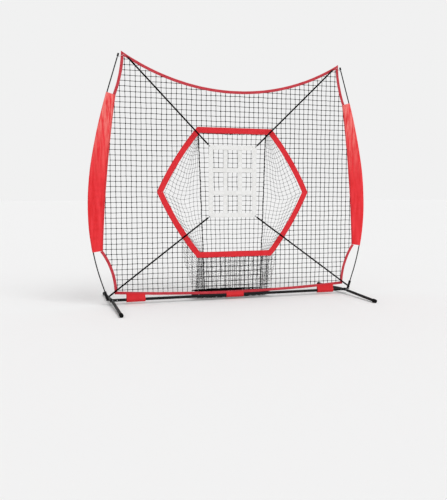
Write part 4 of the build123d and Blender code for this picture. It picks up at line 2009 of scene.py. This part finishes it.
@dataclass
class ElasticCord:
    """A taut elastic cord from a hook on the frame to a corner ring of the strike zone."""

    side: Side
    level: str
    hooked: tuple[float, float, float]
    ringed: tuple[float, float, float]
    diameter: float = 0.014
    sharp_edge: float = 50
    round_steps: int = 4
    line_steps: int = 24

    def route(self) -> bpy.types.Object:
        """The cord's line as a smooth open curve.

        Returns:
            The line, with no thickness yet.
        """
        start, end = Vector(self.hooked), Vector(self.ringed)
        curve = bpy.data.curves.new(f"{self.side.word}_{self.level}_line", "CURVE")
        curve.dimensions = "3D"
        spline = curve.splines.new("NURBS")
        places = [start, start.lerp(end, 0.5), end]
        spline.points.add(len(places) - 1)
        for point, at in zip(spline.points, places):
            point.co = (*at, 1.0)
        spline.order_u = 3
        spline.use_endpoint_u = True
        spline.resolution_u = self.line_steps
        line = bpy.data.objects.new(curve.name, curve)
        bpy.context.scene.collection.objects.link(line)
        return line

    def ends(self) -> tuple[bpy.types.Object, bpy.types.Object]:
        """Makes the moulded grip over the hook's shank, and the crimp at the ring.

        Returns:
            The grip and the crimp.
        """
        start, end = Vector(self.hooked), Vector(self.ringed)
        out = Vector((start.x - end.x, 0, start.z - end.z)).normalized()
        radius, name = self.diameter / 2, f"{self.side.word}_{self.level}"
        rib = ((0.0, -0.0008), (0.0015, 0.0006), (0.0045, 0.0006), (0.006, -0.0008))
        ribs = [
            (distance + step, radius + swell)
            for distance in (0.004, 0.011, 0.018)
            for step, swell in rib
        ]
        collar = [(-0.012, radius + 0.0003), (-0.011, radius + 0.0008), (0.002, radius + 0.0008)]
        nose = [(0.029, 0.8 * radius), (0.035, 0.0032), (0.036, 0.0024)]
        grip = turn(f"{name}_hook_grip", collar + ribs + nose, start, out)
        dress(grip, MOULDED_PLASTIC)
        attach(grip, "frame", "black_plastic")
        back = (start - end).normalized()
        sleeve = [(0.0, 0.7 * radius), (0.0015, radius + 0.0006), (0.013, radius + 0.0006)]
        crimp = turn(f"{name}_ring_crimp", sleeve + [(0.0140, radius + 0.0002)], end, back)
        dress(crimp, MOULDED_PLASTIC)
        attach(crimp, "strike_zone", "black_plastic")
        return grip, crimp

    def build(self) -> None:
        """Makes the cord and its ends, with the braid drawn along its length."""
        line = self.route()
        bare = bpy.data.meshes.new_from_object(line)
        path = [v.co.copy() for v in bare.vertices]
        bpy.data.meshes.remove(bare)
        line.data.bevel_depth = self.diameter / 2
        line.data.bevel_resolution = self.round_steps
        line.data.use_fill_caps = True
        pick(line)
        bpy.ops.object.convert(target="MESH")
        cord = name_active(f"{self.side.word}_{self.level}_elastic")
        seal(cord)
        smooth(cord, self.sharp_edge)
        length = length_of(path)
        # Braided elastic: rubber strands in a tight black polyester sheath, almost matt.
        # Its braid repeats every 3 mm and is drawn at 9 mm.
        braid = Braided(
            f"braided_elastic_{self.side.word}_{self.level}",
            "#030303",
            "#080809",
            roughness=0.75,
            roughness_spread=0.08,
            mottle_size=0.05,
            specular=0.03,
            bump_height=0.0006,
            thread=0.009,
            length=length,
            strands=6,
        )
        dress(cord, braid)
        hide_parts(f"{self.side.word}_{self.level}_cord")
        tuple(self.hooked)
        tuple(self.ringed)
        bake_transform(cord)
        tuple(self.hooked)
        self.ends()


CORDS = (
    ElasticCord(Side.LEFT, "upper", (-0.92994, -0.009, 2.07732), (-0.26232, -0.045, 1.38871)),
    ElasticCord(Side.RIGHT, "upper", (0.92832, -0.009, 2.07896), (0.19290, -0.045, 1.38812)),
    ElasticCord(Side.LEFT, "lower", (-1.11687, -0.01414, 0.09843), (-0.26409, -0.045, 0.74629)),
    ElasticCord(Side.RIGHT, "lower", (1.11581, -0.014, 0.09699), (0.19446, -0.045, 0.74680)),
)


# ---- Steel, rods and studio -------------------------------------------------------------------


@dataclass
class SpringStrip:
    """The V of spring steel inside the crossbar, which gives when its snap button is pressed."""

    side: Side
    near: float = 0.346
    leaf: float = 0.0395
    width: float = 0.008
    thickness: float = 0.0008
    low: float = 0.0341
    high: float = 0.0467
    bend: float = 0.0012
    button_foot: float = 0.0036

    def place(self, s: float, t: float) -> Vector:
        """A point of the strip: along its lower leaf, round the bend and up the other leaf.

        Args:
            s: The share of the way along.
            t: The share of the way across.

        Returns:
            The point.
        """
        far, middle = self.near - self.leaf, self.low + self.bend
        lean = math.atan2(self.high - self.low - 2 * self.bend, self.leaf)
        turned = math.pi - lean
        upper = (self.high - middle - self.bend * math.cos(lean)) / math.sin(lean)
        run = s * (self.leaf + turned * self.bend + upper)
        if run < self.leaf:
            x, z = self.near - run, self.low
        else:
            angle = min((run - self.leaf) / self.bend, turned)
            up = max(0.0, run - self.leaf - turned * self.bend)
            x = far - self.bend * math.sin(angle) + up * math.cos(lean)
            z = middle - self.bend * math.cos(angle) + up * math.sin(lean)
        return Vector((self.side.value * x, (t - 0.5) * self.width, z))

    def build(self) -> None:
        """Makes the strip in its resting shape."""
        name = f"{self.side.word}_spring_strip"
        strip = make_cloth(name, (60, 4), (2 * self.leaf, self.width), self.place, self.thickness)
        seal(strip)
        dress(strip, ZINC_PLATE)
        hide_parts(f"{self.side.word}_button_clip")
        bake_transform(strip)


@dataclass
class Hardware:
    """The frame's own steel, rubber and fibreglass parts, which keep their shapes."""

    tubes: Finish = POWDER_COAT
    others: tuple[tuple[str, Finish], ...] = (
        ("leg_cap", RUBBER),
        ("tip_cap", MOULDED_PLASTIC),
        ("leg_rivets", ZINC_PLATE),
        ("bar_bolts", ZINC_PLATE),
        ("snap_button", ZINC_PLATE),
        ("insert", ZINC_PLATE),
        ("ferrules", ZINC_PLATE),
        ("corner_loop", CLEAR_CORD),
        ("cord_hooks", DIPPED_WIRE),
        ("target_rings", DIPPED_WIRE),
        ("rod_", FIBREGLASS),
    )

    def build(self) -> None:
        """Dresses each node that nothing replaces: the tubes and brackets, and all others."""
        for name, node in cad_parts.items():
            if node.hide_render:
                continue
            finish = next((f for words, f in self.others if words in name), self.tubes)
            dress(node, finish)
            log.info("%s: %s", name, finish.name)


@dataclass
class Studio:
    """The camera, the lamps, and a pale floor that runs to the horizon."""

    eye: tuple[float, float, float] = (-1.789, -5.417, 0.963)
    turn: float = math.radians(17.24)
    tilt: float = math.radians(5.145)
    lens: float = 45.36
    paper: str = "#F1F1F1"
    sky: float = 0.62
    sun: float = 1.56
    sun_rotation: tuple[float, float, float] = (0.62, 0.28, 0.0)
    sun_angle: float = math.radians(35)
    far: float = 200
    floor_size: float = 160
    floor_level: float = -0.0005

    def camera(self) -> None:
        """Sets up the camera."""
        camera = bpy.data.objects.new("camera", bpy.data.cameras.new("camera"))
        bpy.context.scene.collection.objects.link(camera)
        camera.location = self.eye
        camera.rotation_euler = (math.pi / 2 - self.tilt, 0, -self.turn)
        camera.data.lens = self.lens
        camera.data.clip_end = self.far
        bpy.context.scene.camera = camera

    def light(self) -> None:
        """Lights the part evenly from all round, with one soft lamp from the front."""
        world = bpy.data.worlds.new("studio")
        bpy.context.scene.world = world
        world.use_nodes = True
        tree = world.node_tree
        tree.nodes.clear()
        path = add_node(tree, "ShaderNodeLightPath")
        seen = path.outputs["Is Camera Ray"]
        for ray in ("Is Glossy Ray", "Is Transmission Ray"):
            links = {0: seen, 1: path.outputs[ray]}
            seen = add_node(tree, "ShaderNodeMath", links, operation="MAXIMUM").outputs[0]
        lamp = add_node(
            tree,
            "ShaderNodeBackground",
            None,
            {"Color": (1.0, 1.0, 1.0, 1.0), "Strength": self.sky},
        )
        shown = add_node(
            tree, "ShaderNodeBackground", None, {"Color": linear(self.paper), "Strength": 1.0}
        )
        mixed = add_node(
            tree, "ShaderNodeMixShader", {0: seen, 1: lamp.outputs[0], 2: shown.outputs[0]}
        )
        add_node(tree, "ShaderNodeOutputWorld", {"Surface": mixed.outputs[0]})
        sun = bpy.data.lights.new("soft_lamp", "SUN")
        sun.energy = self.sun
        sun.angle = self.sun_angle
        lamp_object = bpy.data.objects.new("soft_lamp", sun)
        lamp_object.rotation_euler = self.sun_rotation
        bpy.context.scene.collection.objects.link(lamp_object)

    def floor(self) -> None:
        """Lays the floor."""
        lay_down_tools()
        middle = (0, 0, self.floor_level)
        bpy.ops.mesh.primitive_plane_add(size=self.floor_size, location=middle)
        floor = name_active("studio_floor")
        dress(floor, STUDIO_PAPER)

    def build(self) -> None:
        """Sets the studio up."""
        self.camera()
        self.light()
        self.floor()
        bpy.context.scene.view_settings.view_transform = "Standard"


def main() -> None:
    """Builds the studio and the cords first, and then each sub-assembly."""
    logging.basicConfig(level=logging.INFO, format="%(message)s")
    noise.seed_set(NOISE_SEED)
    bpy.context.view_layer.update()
    Studio().build()
    for cord in CORDS:
        cord.build()
    NettingFace().build()
    for side, node in (
        (7, "top_hem"),
        (3, "bottom_hem"),
        (0, "right_upper_hem"),
        (2, "right_lower_hem"),
        (4, "left_lower_hem"),
        (6, "left_upper_hem"),
    ):
        EdgeTape(side, node).build()
    for side in Side:
        Sleeve(side).build()
        SpringStrip(side).build()
    for node, middle in (("left_tab", -0.908), ("centre_tab", 0.0), ("right_tab", 0.908)):
        BarTab(node, middle).build()
    MouthBinding().build()
    Pocket().build()
    StrikeZone().build()
    Hardware().build()
    lay_down_tools()


if __name__ == "__main__":
    main()
